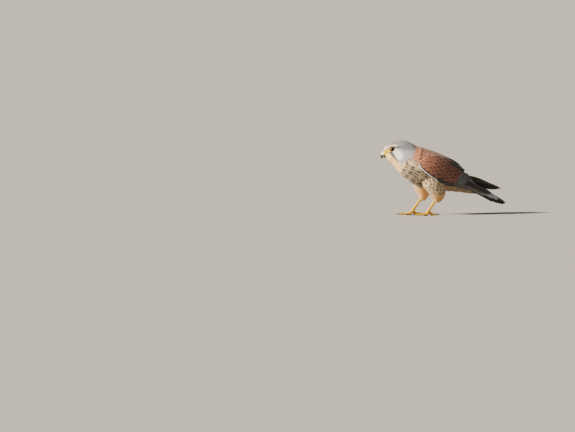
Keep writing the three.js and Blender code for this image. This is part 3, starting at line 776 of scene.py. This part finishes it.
def spread(start, end, step_along, step_round):
    """Roots in rows over the trunk, alternate rows offset: t, phi, side and gap of each."""
    ts, phis, sides, gaps = [], [], [], []
    fine = np.radians(np.linspace(-90, 90, 181))
    t, row = start, 0
    while t < end:
        a, b = place_trunk(np.array([t, t + 0.05]), np.array([0.0, 0.0]), 0.0, -1)
        per = np.linalg.norm(b - a) / 0.05
        _, th, _, bh, width, _ = sample(TRUNK, t)[0]
        tall = (th - bh) / 2
        girth = pi * (3 * (tall + width) - sqrt((3 * tall + width) * (tall + 3 * width))) / 2
        count = max(6, int(girth / step_round(t)))
        pieces = np.hypot(np.diff(np.sin(fine)) * tall, np.diff(np.cos(fine)) * width)
        length = np.concatenate([[0], np.cumsum(pieces)])
        for side in (-1, 1):
            f = (np.arange(count) + 0.5 * (row % 2) + 0.25 + RNG.uniform(-0.16, 0.16, count)) / count
            phis.append(np.interp(f, length / length[-1], np.degrees(fine)))
            ts.append(t + RNG.uniform(-0.2, 0.2, count) * step_along(t) / per)
            sides.append(np.full(count, side))
            gaps.append(np.full(count, step_along(t)))
        t += step_along(t) / per
        row += 1
    return (np.concatenate(v) for v in (ts, phis, sides, gaps))


def trunk_bake(t, phi, side):
    return np.stack([t / 20, 0.25 + 0.24 * phi / 90 + np.where(side > 0, 0.5, 0)], 1)


def trunk_coat(name, slot, material, start, end, step_along, step_round, depth, along=4):
    """One stretch of the coat, bare round the eye, on the lore and under the wing."""
    t, phi, side, gap = spread(start, end, step_along, step_round)
    head_along, z = head_place(*left_view(t, phi))
    per = per_section(place_trunk, t, phi, side)
    eye = np.linalg.norm(place_trunk(t, phi, 0, side) - eye_middle(side), axis=1)
    length = OVERLAP * gap
    tip = np.hypot(head_along + length * 0.9 - EYE[0], z - EYE[1])
    over_eye = (head_along < EYE[0]) & (np.abs(z - EYE[1]) < 6.2) & (tip < 6.4)
    keep = ~under_wing(t + length / per * 0.5, phi) & ~((t < 6) & (eye < 7.0))
    keep &= ~((t < 4) & (over_eye | in_lore(head_along, z)))
    t, phi, side, per, length = (x[keep] for x in (t, phi, side, per, length))
    n = len(t)
    seen = t + (length - 0.6 * step_along(t)) / per
    tint, mark = trunk_colours(seen, phi, *left_view(seen, phi))
    turn = RNG.normal(0, 2.0, n)
    half = step_round(t) * 0.8 * RNG.uniform(0.8, 1.2, n)
    coat = Coat().add(place_trunk, t, phi, t + length / per, phi + turn, half, side, tint, mark, -depth(t),
                      RNG.uniform(-0.3, 0.12, n), along, 2, bake=trunk_bake(t, phi, side), **BODY_VANE)
    return coat.build(name, material, slot)


def thigh_coat():
    """Both thighs, each in rows round its own sections."""
    coat = Coat()
    for side, name in SIDES:
        rows = []
        u, row = 0.1, 0
        while u < 5.7:
            _, _, _, a, b = sample(LEGS[name]["thigh"], u)[0]
            count = max(12, int(pi * (a + b) / 1.7))
            angle = (np.arange(count) + 0.5 * (row % 2) + RNG.uniform(-0.2, 0.2, count)) * 360 / count
            rows.append(np.stack([u + RNG.uniform(-0.06, 0.06, count), angle]))
            u += 0.13
            row += 1
        u, angle = np.hstack(rows)
        n = len(u)
        sides = np.full(n, float(side))
        z = place_thigh(u, angle, 0, sides)[:, 2]
        low = smooth(60, 44, z - (14 if side > 0 else 0))
        # the near (left) thigh's buff is darkened to 0.82 as painted shade
        tint = mix(mix(CREAM, BUFF, 0.25) * 0.8, BUFF * (0.82 if side < 0 else 1.0), low[:, None])
        drop = spots(u + 0.66, angle, 0.72, 22.0, 0.85, 0.25, 5.6)
        painter(tint)(drop * smooth(47, 52, z - (22 if side > 0 else 0)), STREAK)
        bake = np.stack([u / 8 + 0.02, 0.03 + angle / 360 * 0.44 + (0.5 if side > 0 else 0)], 1)
        coat.add(place_thigh, u, angle, np.minimum(u + 0.8, 6.0), angle + RNG.normal(0, 2, n),
                 mix(1.35, 0.95, smooth(2, 5, u)), sides, tint, (0.0, 0.5, 0.7, 0.4), -2.0,
                 RNG.uniform(-0.3, 0.15, n), 5, 2, bake=bake, **BODY_VANE)
    return coat.build("plumage_thighs", BODY_FEATHER, "thigh")


def bristles():
    """Fine hairs of the bare lore, growing back from the cere toward the eye."""
    tried = 4000
    t, phi = RNG.uniform(0.1, 3.4, tried), RNG.uniform(-60, 80, tried)
    side = np.where(RNG.random(tried) < 0.5, -1.0, 1.0)
    keep = in_lore(*head_place(*left_view(t, phi)))
    t, phi, side = (x[keep][:260] for x in (t, phi, side))
    n = len(t)
    per = per_section(place_trunk, t, phi, side)
    tint = mix(srgb(60, 46, 30), srgb(214, 170, 80), RNG.random((n, 1)))
    end, turn = t + RNG.uniform(1.6, 3.0, n) / per, RNG.normal(14, 10, n)
    coat = Coat().add(place_trunk, t, phi, end, phi + turn, 0.07, side, tint, PLAIN, -0.4,
                      RNG.uniform(0.1, 0.5, n), 4, 2, bake=trunk_bake(t, phi, side), cup=0.5, blunt=0.2)
    coat.build("bristles", HEAD_FEATHER, "hood")


roots = np.vstack([
    trunk_coat("plumage_face", "hood", HEAD_FEATHER, 0.2, 3.6, along_head, round_head, deep_head),
    trunk_coat("plumage_head", "hood", HEAD_FEATHER, 3.6, 7.4, along_head, round_head, deep_head),
    trunk_coat("plumage_neck", "mantle", BODY_FEATHER, 6.9, 11.0, along_body, round_body, lambda t: 2.2),
    trunk_coat("plumage_body", "breast", BODY_FEATHER, 10.8, 17.3, along_body, round_body, lambda t: 2.4, 5),
    thigh_coat(),
])
bristles()


# Skin
def skin_ring(t):
    """One ring of the trunk's skin, below the coat's depth; the lore is bare and lies near the outline."""
    angle = np.linspace(0, 360, 48, endpoint=False)
    right = (angle > 90) & (angle < 270)
    phi = np.where(right, 180 - angle, angle)
    tt = np.full(48, t)
    bare = in_lore(*head_place(*left_view(tt, phi))) & (t < 4)
    deep = -(0.7 + 0.9 * smooth(0, 3, tt) + 0.9 * smooth(6, 8, tt)) - 0.3 - 5 * smooth(16.4, 18.6, tt)
    return place_trunk(tt, phi, np.where(bare, -0.35, deep), np.where(right, 1.0, -1.0))


def thigh_ring(u, side):
    angle = np.linspace(0, 360, 36, endpoint=False)
    return place_thigh(np.full(36, u), angle, np.full(36, -2.2 + 0.8 * smooth(4, 6, u)), np.full(36, side))


def skin_tones(points):
    """Each place takes the tone of the nearest feather's root, darkened as painted shade between the
    feathers, and yellow round the eye and on the lore.
    """
    tree = kdtree.KDTree(len(roots))
    for i, p in enumerate((roots[:, :3] + SHIFT) * METRES):
        tree.insert(Vector(p), i)
    tree.balance()
    near = [tree.find(Vector(p))[1] for p in points]
    tones = roots[near, 3:6] * 0.8
    local = points * 1000 - SHIFT
    head_x = (local[:, 0] - TURN_X) * cos(HEAD_TURN) - local[:, 1] * sin(HEAD_TURN)
    bare = in_lore(head_x, local[:, 2]) & (head_x < -36)
    for side, _ in SIDES:
        bare |= np.linalg.norm(local - eye_middle(side), axis=1) < 7.6
    tones[bare] = YELLOW
    return tones


forms = [form("trunk", [skin_ring(t) for t in np.linspace(0.02, 18.5, 94)])]
for side, _ in SIDES:
    forms.append(form("thigh", [thigh_ring(u, float(side)) for u in np.linspace(0, 6, 22)]))
skin = fuse(forms, "skin", 1.1, 3)
colour(skin, "tint", skin_tones(points_of(skin).astype(float)))
dress(skin, skin_material(), "breast", "head", "neck", "torso", "thigh_left", "thigh_right")


# Wings
def drops(n, share, width=0.42, at=0.7, long=0.24, turn=None):
    """A dark drop on a share of the feathers; with turn, only every second one has it, so rows alternate."""
    mark = np.zeros((n, 4))
    mark[:, 0] = np.where(RNG.random(n) < share, 0.96, 0)
    if turn is not None:
        mark[(np.arange(n) + turn) % 2 == 0, 0] = 0
    mark[:, 1] = width * RNG.uniform(0.8, 1.2, n)
    mark[:, 2] = at + RNG.uniform(-0.05, 0.05, n)
    mark[:, 3] = long * RNG.uniform(0.8, 1.2, n)
    return mark


def row(coat, t, low, high, count, length, half, side, tint, mark=PLAIN, drift=3.0, lift=(-0.9, 0.9),
        jitter=0.12, bend=0.0, **more):
    """One row of feathers across the wing: from low to high angle, rooted at section t."""
    f = (np.arange(count) + 0.5) / count
    phi = mix(low, high, f) + RNG.uniform(-1, 1, count) * jitter * (high - low) / count
    tt = t + RNG.uniform(-0.04, 0.04, count)
    run = np.interp(f, [0, 1], length) if isinstance(length, tuple) else length
    end = tt + run / per_section(place_wing, tt, phi, side)
    coat.add(place_wing, tt, phi, end, phi + drift * (0.5 - f), half, side, tint, mark, lift[0], lift[1],
             lift=lambda A, S: -bend * smooth(0.45, 1, A), **more)


def room(low, high, width):
    """How many feathers of a width fit between two angles on the wing."""
    return int((high - low) * pi / 180 * WING_DEPTH / width)


def shaded(tone, count):
    """Tints for a row of feathers, darkened toward the wing's lower edge as painted shade."""
    return tone * mix(0.85, 1.0, smooth(0.0, 0.5, (np.arange(count) + 0.5) / count))[:, None]


def lesser_coverts(coat, side):
    """Small coverts in rows that alternate, growing backward."""
    t, k = 9.75, 0
    while t < 12.55:
        low, high = edges(t)
        low, high = float(low) + 3, float(high) - 1
        g = float(smooth(9.8, 13, t))
        count = max(3, room(low, high, mix(2.9, 4.6, g)))
        offset = (high - low) / count * (0.25 if k % 2 else -0.25)
        tint = mix(ORANGE, CHESTNUT, 0.55 + 0.45 * g) * mix(1.02, 0.9, g)
        mark = drops(count, (k % 2 == 0) * mix(0.8, 1.0, g), 0.66, 0.74, 0.3, k // 2)
        row(coat, t, low + offset, high + offset, count, mix(7, 12, g), mix(2.2, 3.7, g), side, tint, mark,
            lift=(-1.3, 0.3), ragged=0.1, across=6, rise=0.5)
        t += mix(2.3, 4.0, g) / float(per_section(place_wing, np.array([t]), 20.0, side)[0])
        k += 1


def greater_coverts(coat, side):
    """Median and greater coverts, then the rear tier."""
    tiers = ((12.65, -10, 66, 14, 16, 4.0), (12.95, -12, 66, 13, 18, 4.3), (13.3, -14, 64, 12, 21, 4.8),
             (13.65, -15, 62, 11, (23, 30), 5.2))
    for k, (t, low, high, count, length, half) in enumerate(tiers):
        # painted shade: the coverts darken toward the rear tier and, through shaded, toward the lower edge
        tint = shaded(CHESTNUT * mix(0.92, 0.86, smooth(12.6, 13.6, t)), count)
        row(coat, t, low, high, count, length, half, side, tint, drops(count, 0.85, 0.5, 0.84, 0.12, k),
            lift=(-1.2, 0.35), along=8, across=8, shaft=0.12, cup=0.12, ragged=0.04, rise=0.5)


def tertials(coat, side):
    # shaded paints shade toward the tertials' lower edge
    row(coat, 13.75, -15, 46, 7, (27, 42), 6.0, side, shaded(mix(CHESTNUT, DARK, 0.12) * 0.82, 7),
        drops(7, 0.9, 0.4, 0.86, 0.08, 1), drift=6, lift=(-1.3, 0.35), along=10, across=8, shaft=0.2, cup=0.1,
        jitter=0.02)


def scapulars(coat, side):
    """Rows along the back that grow longer to the rear."""
    t, k = 9.5, 0
    while t < 13.4:
        g, begun = float(smooth(9.0, 13.3, t)), smooth(9.5, 10.0, t)
        marked = mix(0.8, 0.95, g) if k % 2 == 0 or g > 0.5 else 0
        low, high = float(np.interp(t, [9.5, 10.4, 11.5, 13.3], [16, 35, 54, 63])), 85
        half = mix(2.3, 4.9, g)
        count = max(4, room(low, high, half * 1.25))
        # painted shade: the first rows are darkened where their slope faces the light
        tint = mix(ORANGE, CHESTNUT, 0.55 + 0.4 * g) * mix(0.8, 0.96, smooth(9.5, 10.2, t))
        mark = drops(count, marked, mix(0.8, 0.62, g), 0.78, mix(0.3, 0.16, g), k // 2)
        row(coat, t, low, high, count, mix(6, 23, g) * mix(0.6, 1.0, begun), half, side, tint, mark, drift=-4,
            lift=(mix(-1.9, -0.7, smooth(9.5, 10.6, t)), mix(0.1, 1.7, g)), along=7, across=6, shaft=0.08,
            cup=0.16, ragged=0.05, rise=0.6)
        t += mix(0.19, 0.5, g) * mix(0.5, 1.0, smooth(9.5, 10.1, t))
        k += 1


def wing_edge(coat, side):
    """Long inner feathers over the rump, the leading edge, and alula with primary coverts."""
    far = side > 0
    # the far wing's inner feathers are darkened to 0.6 as painted shade
    row(coat, 13.5, 50, 84, 6, (62, 58) if far else (44, 38), 5.6, side, DARK * (0.6 if far else 1.0),
        drift=2, lift=(-0.1, 2.6 if far else 1.2), along=12, across=8, shaft=0.2, cup=0.1,
        bend=5.0 if far else 1.0)
    t, step = np.linspace(10.0, 12.5, 12), 0.62
    for shift, tone, half, up in ((-0.5, srgb(250, 248, 242), 0.95, 0.3), (2.4, DARK, 1.5, 0.7)):
        start, end = (edge(LOWER_EDGE, at) + shift for at in (t, t + step))
        coat.add(place_wing, t, start, t + step, end, half, side, tone, PLAIN, -0.8, up)
    for t, low, count, length in ((12.6, -15.5, 3, 22), (13.3, -21, 4, 24), (14.0, -24, 4, 26)):
        row(coat, t, low, low + 9, count, length, 3.6, side, DARK, drift=1, lift=(-0.9, 0.3), along=8,
            across=6, shaft=0.15, cup=0.12)


def wing_under(side, name):
    """The closed form under the coverts."""
    rings = []
    for t in np.linspace(9.95, 15.3, 30):
        low, high = edges(t)
        phi = np.linspace(low + 1.5, high - 1.5, 14)
        tt = np.full(14, t)
        inner = place_bed(tt, phi[::-1], shell_inner(tt, side) + 0.2, side)
        rings.append(np.vstack([place_wing(tt, phi, -1.4, side), inner]))
    under = form(f"wing_under_{name}", rings)
    under.data.shade_smooth()
    dress(under, DOWN, "coverts", f"wing_{name}")


def flight_feathers(side, name):
    """The ten feathers of the hand, then the shorter secondaries over them."""
    tip, phi, lift, fan = HAND[name]
    coat = Coat()
    k = np.arange(10) * 5 / 9
    end = tip - np.where(k > 0, 0.6 * (k - 1), 0.3)
    end[0], end[1] = tip - 0.25, tip
    coat.add(place_bed, np.full(10, 13.9), -18 + 6 * k, end, phi + fan * k, 5.4 - 0.1 * k, side,
             mix(DARK, INK, 0.3), PLAIN, 1.5 + 0.36 * k, 1.5 + 0.36 * k + lift, along=18, across=8, cup=0.0,
             blunt=0.78, shaft=0.35, lift=lambda A, S: -0.6 * S)
    j = np.arange(7)
    coat.add(place_bed, np.full(7, 13.8), 8 + 8.0 * j, 16.6 + 0.1 * j, mix(phi, 10, 0.4) + 14 + 7.0 * j, 5.6,
             side, mix(DARK, srgb(112, 116, 124), 0.5), PLAIN, 3.6, 3.8, along=14, across=8, cup=0.0,
             blunt=0.7, shaft=0.3, lift=lambda A, S: -0.5 * S)
    coat.build(f"flight_{name}", LONG_FEATHER, "flight_feathers", f"primaries_{name}")


WING_TIERS = (
    (lesser_coverts, "coverts_small", WING_FEATHER, "coverts"),
    (greater_coverts, "coverts", WING_FEATHER, "coverts"),
    (tertials, "tertials", TERTIAL, "coverts"),
    (scapulars, "scapulars", WING_FEATHER, "coverts"),
    (wing_edge, "wing_edge", LONG_FEATHER, "flight_feathers"),
)
for side, name in SIDES:
    for tier, piece, material, slot in WING_TIERS:
        coat = Coat()
        tier(coat, float(side))
        coat.build(f"{piece}_{name}", material, slot)
    wing_under(float(side), name)
    flight_feathers(side, name)


# Tail
def tail_feathers():
    """Twelve feathers in a fan; the mark's place is where each one's dark band begins, the bands drawn longer
    on the outer feathers partly as painted shade.
    """
    rank = np.array([side * (pair + 0.5) for side in (-1, 1) for pair in range(6)])
    end = np.array(TAIL_LENGTHS * 2)
    mark = np.zeros((12, 4))
    mark[:, 2] = 1 - np.interp(np.abs(rank), *BAND_AND_SHADE_LENGTH) / (TAIL_LENGTH * end)
    mark[:, 3] = 1.0
    # painted light: the tail's grey is raised almost to white so it stays pale where it lies in shade
    coat = Coat().add(place_tail, np.zeros(12), 0.0, end, 0.0, 4.4, rank, srgb(246, 246, 250), mark, 0.0, 0.0,
                      along=26, across=8, cup=0.03, blunt=0.94, shaft=0.4)
    coat.build("tail_feathers", TAIL_FEATHER, "tail", "tail")


def tail_coverts(coat, rows, low, high, half, tone, ragged, up, sink):
    """Rows over or under the tail's root."""
    for t, count, length, bend in rows:
        for side, _ in SIDES:
            phi = np.linspace(low, high, count)
            tt = t + RNG.uniform(-0.1, 0.1, count)
            end = np.minimum(tt + length / per_section(place_trunk, tt, phi, side), 19.0)
            coat.add(place_trunk, tt, phi, end, phi, half, side, tone, PLAIN, -1.5 - bend * sink, up, along=8,
                     across=6, ragged=ragged, lift=lambda A, S: -bend * A ** 1.3)


# Section, count, length and bend of each row of coverts
OVER_TAIL = (14.9, 8, 18, 0), (15.6, 8, 20, 1), (16.3, 7, 23, 2.5), (16.9, 7, 25, 4.5), (17.4, 6, 25, 5.5)
UNDER_TAIL = (14.6, 8, 17, 0), (15.3, 8, 19, 0), (16, 8, 21, 0.5), (16.7, 7, 23, 1.5), (17.4, 6, 24, 3)
tail_feathers()
coat = Coat()
tail_coverts(coat, OVER_TAIL, 30, 86, 4.2, SLATE, 0.08, 0.9, 0.25)
# the under rows' pale buff is darkened to about a quarter as painted shade
tail_coverts(coat, UNDER_TAIL, -86, 10, 4.4, mix(CREAM, BUFF, 0.25) * 0.26, 0.12, 0.7, 0)
coat.build("tail_coverts", BODY_FEATHER, "tail")


# Bill, cere and eyes
def bill_rings(rows, start, end, count, segments, shape):
    """Rings across the bill's own path: shape gives the ring's outline factors by place and angle."""
    rings = []
    k = np.linspace(0, 2 * pi, segments, endpoint=False)
    for t in np.linspace(start, end, count):
        along, height, deep, wide = sample(rows, t)[0]
        ahead = sample(rows, min(t + 0.05, len(rows) - 1.0))[0][:2]
        behind = sample(rows, max(t - 0.05, 0.0))[0][:2]
        way = (ahead - behind) / hypot(*(ahead - behind))
        fx, fy = shape(t, k)
        rings.append(on_head(along + way[1] * fy * deep, height - way[0] * fy * deep, fx * wide))
    return np.vstack(rings), grid_faces(count, segments, wrap=True)


def upper_shape(t, k):
    """Round below the ridge, narrowing to the culmen, with a tooth behind the hook."""
    c, s = np.cos(k), np.sin(k)
    tooth = 0.28 * exp(-((t - 3.15) / 0.3) ** 2) - 0.16 * exp(-((t - 3.75) / 0.25) ** 2)
    return c * (1 - 0.16 * np.clip(s, 0, 1) ** 2), s - tooth * np.clip(-s, 0, 1) ** 3


def lower_shape(t, k):
    return np.cos(k), np.sin(k) * np.where(np.sin(k) > 0, 0.9, 1.0)


def cere_shape(t, k):
    return np.cos(k) * (1.045 + 0.03 * sin(t * 1.5)), np.sin(k) * 1.04


def bill_half(name, node, rows, start, end, count, segments, shape, far):
    """One half of the bill; far is how dark the horn is at its two ends."""
    half = make(name, *bill_rings(rows, start, end, count, segments, shape))
    grade(half, np.repeat(np.linspace(*far, count), segments))
    dress(half, HORN, "horn", node)


def cere():
    """Waxy skin over the bill's base, with a sunk nostril and its low rim on each side."""
    points, faces = bill_rings(UPPER_BILL, 0.0, CERE_END + 0.05, 34, 56, cere_shape)
    radius = NOSTRIL[2]
    dark = np.zeros(len(points))
    for side, _ in SIDES:
        outward = on_head(0, 0, side) - on_head(0, 0, 0)
        away = np.linalg.norm(points - on_head(NOSTRIL[0], NOSTRIL[1], side * 4.6), axis=1)
        sunk = np.clip(1 - away / radius, 0, 1)[:, None] * (on_head(0, 0, -side * 1.3) - on_head(0, 0, 0))
        # painted shade inside the nostril's dip
        dark = np.maximum(dark, smooth(radius * 0.95, radius * 0.6, away))
        points = points + sunk + (smooth(0.5, 0, np.abs(away - radius * 1.15)) * 0.22)[:, None] * outward
    obj = make("cere_skin", points, faces)
    grade(obj, dark)
    dress(obj, WAX, "cere", "cere")


def turned(side, theta, angle, radius, squeeze=1.0):
    """Places round the eye's axis, which points outward and a little forward."""
    x, y, z = np.sin(theta) * np.cos(angle), np.cos(theta), np.sin(theta) * np.sin(angle) * squeeze
    along = x * cos(EYE_YAW) - side * y * sin(EYE_YAW)
    out = y * cos(EYE_YAW) + x * sin(EYE_YAW)
    return on_head(EYE[0] + radius * along, EYE[1] + radius * z, side * (EYE[2] + radius * out))


def eye(side, name):
    theta = np.repeat(np.linspace(0.01, pi - 0.01, 40), 48)
    angle = np.tile(np.linspace(0, 2 * pi, 48, endpoint=False), 40)
    radius = EYE_RADIUS * (1 + 0.03 * np.exp(-(theta / 0.6) ** 2))
    ball = make(f"eyeball_{name}", turned(side, theta, angle, radius), grid_faces(40, 48, wrap=True))
    grade(ball, theta / pi * 2)
    dress(ball, EYE_GLASS, "eye", f"eye_{name}")


def eyelid(side, name):
    """A wrinkled ring round the eye, dark at its inner edge."""
    profile = [(60, 5.66), (60.5, 5.9), (63, 6.1), (66.5, 6.2), (71, 6.1), (77, 5.85), (84, 5.5)]
    a = np.linspace(0, 2 * pi, 64, endpoint=False)
    rows = []
    for degrees, r in profile:
        wrinkle = 0.05 * np.sin(a * 18 + degrees)
        rows.append(turned(side, np.full(64, radians(degrees)), a, r + wrinkle, 0.96))
    lid = make(f"lid_{name}", np.vstack(rows), grid_faces(len(profile), 64, wrap=True))
    grade(lid, np.repeat([1, 1, 0.8, 0, 0, 0, 0], 64))
    dress(lid, LID, "cere")


hook = len(UPPER_BILL) - 1.0
bill_half("beak_upper", "bill_upper", UPPER_BILL, CERE_END, hook, 44, 40, upper_shape, (0, 1))
bill_half("beak_lower", "bill_lower", LOWER_BILL, 0.3, 4.0, 24, 32, lower_shape, (0.3, 0.9))
cere()
for side, name in SIDES:
    eye(side, name)
    eyelid(side, name)


# Legs
def tube(places, radii, segments=20):
    """Rings of points round a path; radii is one (across, upright) for each place."""
    rings = []
    k = np.linspace(0, 2 * pi, segments, endpoint=False)[:, None]
    for i, p in enumerate(places):
        way = places[min(i + 1, len(places) - 1)] - places[max(i - 1, 0)]
        way = way / np.linalg.norm(way)
        side = np.cross(way, (0, 0, 1.0)) if abs(way[2]) < 0.9 else np.cross(way, (1.0, 0, 0))
        side = side / np.linalg.norm(side)
        up = np.cross(side, way)
        rings.append(p + side * np.cos(k) * radii[i][0] + up * np.sin(k) * radii[i][1])
    return rings


def shank(hub, ankle):
    f = np.linspace(0, 1, 60)
    swell = 1.5 * np.exp(-((f / 0.12) ** 2)) + 1.2 * np.exp(-(((f - 1) / 0.2) ** 2))
    ridge = 0.22 * np.abs(np.sin(f * pi * 14))
    radii = [(2.55 + a + b, 2.75 + a + b) for a, b in zip(swell, ridge)]
    return tube(hub + (ankle - hub) * f[:, None], radii)


def knuckle(hub, radius=4.0):
    """The ball where the toes meet."""
    k = np.linspace(0.02, pi - 0.02, 14)
    return tube(hub + np.stack([np.cos(k) * radius, 0 * k, 0 * k], 1), [(radius * sin(v),) * 2 for v in k])


def toe(start, way, length, radius):
    """Level toe with pads below and scutes above, let down from the knuckle."""
    f = np.linspace(-0.12, 1.06, 70)
    on_toe = np.clip(f, 0, 1)
    r = mix(radius * 1.1, radius * 0.8, on_toe) + 0.35 * np.abs(np.sin(on_toe * pi * 3))
    end_round = np.sqrt(np.clip(1 - ((f - 0.97) / 0.095) ** 2, 0.02, 1)) * (f > 0.97) + (f <= 0.97)
    scute = 1 + 0.09 * np.abs(np.sin(f * length * pi / 2.0))
    places = start + way * (f * length)[:, None]
    places[:, 2] = np.maximum(mix(HUB_HEIGHT - 3.4, r - 0.35, smooth(0, 0.45, f)), r * end_round - 0.1)
    return tube(places, [(v * e, v * e * q) for v, e, q in zip(r, end_round, scute)])


def talon(start, way, length, radius, claw):
    """Arched claw from the toe's end down to the floor."""
    g = np.linspace(-0.12, 1, 30)
    on_claw = np.clip(g, 0, 1)
    places = start + way * (length + 1.0 + claw * 0.9 * g)[:, None]
    places[:, 2] = mix(radius * 0.9, 0.25, on_claw ** 2) + 0.45 * claw * g * (1 - g)
    return tube(places, [(v * 0.85, v) for v in mix(1.75, 0.32, on_claw ** 0.8)], 18)


def above_floor(obj):
    """Flattens whatever is below the floor onto it."""
    co = points_of(obj)
    co[:, 2] = np.maximum(co[:, 2], 0.0)
    obj.data.vertices.foreach_set("co", co.ravel())


def leg(side, name):
    hub, ankle = (np.array(LEGS[name][k]) for k in ("hub", "ankle"))
    forms = [form("shank", shank(hub, ankle)), form("hub", knuckle(hub))]
    claws = []
    for number, (heading, length, radius, claw) in TOES.items():
        a = radians(heading) * side
        way = np.array([-cos(a), sin(a), 0.0])
        start = np.array([hub[0], hub[1], 0.0]) + 3.4 * way
        forms.append(form("toe", toe(start, way, length, radius)))
        claws.append((f"{name}_{number}", talon(start, way, length, radius, claw)))
    foot = fuse(forms, f"foot_{name}", 0.42, 1)
    dress(foot, SCALES, "leg_skin", f"tarsus_{name}", *(f"toe_{name}_{n}" for n in TOES))
    above_floor(foot)
    for which, rings in claws:
        obj = form(f"talon_{which}", rings)
        above_floor(obj)
        obj.data.shade_smooth()
        dress(obj, CLAW, "claw", f"claw_{which}")


for side, name in SIDES:
    leg(side, name)

# Stage, light and camera
FLOOR_HALF = 300
corners = [(x * FLOOR_HALF, y * FLOOR_HALF, 0) for x, y in ((-1, -1), (1, -1), (1, 1), (-1, 1))]
floor = link("floor", bpy.data.meshes.new("floor"))
floor.data.from_pydata(corners, [], [(0, 1, 2, 3)])
floor.data.materials.append(flat("floor", srgb(174, 170, 164), srgb(170, 166, 160), 0.9, 2.0, 0.0))

world = bpy.data.worlds.new("world")
bpy.context.scene.world = world
world.use_nodes = True
sky = world.node_tree.nodes["Background"]
sky.inputs[0].default_value = (0.86, 0.88, 0.92, 1)
sky.inputs[1].default_value = 0.2

sun = bpy.data.lights.new("key", "SUN")
sun.energy, sun.angle, sun.color = 12.5, 0.12, (1.0, 0.92, 0.78)
link("key", sun).rotation_euler = Vector((0.88, 0.09, -0.46)).to_track_quat("-Z", "Y").to_euler()

AZIMUTH, ELEVATION = radians(-18), radians(3)
LENS, SENSOR, WIDE = 400.0, 36.0, 1.265
right = np.array([cos(AZIMUTH), sin(AZIMUTH), 0.0])
level = cos(ELEVATION)
back = np.array([sin(AZIMUTH) * level, -cos(AZIMUTH) * level, sin(ELEVATION)])
aim = (right * -306.9 + np.cross(back, right) * -2.3 + SHIFT) * METRES
camera = bpy.data.cameras.new("camera")
camera.lens, camera.sensor_width = LENS, SENSOR
camera.clip_start, camera.clip_end = 0.5, 900
viewer = link("camera", camera)
viewer.location = Vector(aim + back * WIDE * LENS / SENSOR)
viewer.rotation_euler = Vector(-back).to_track_quat("-Z", "Y").to_euler()
bpy.context.scene.camera = viewer
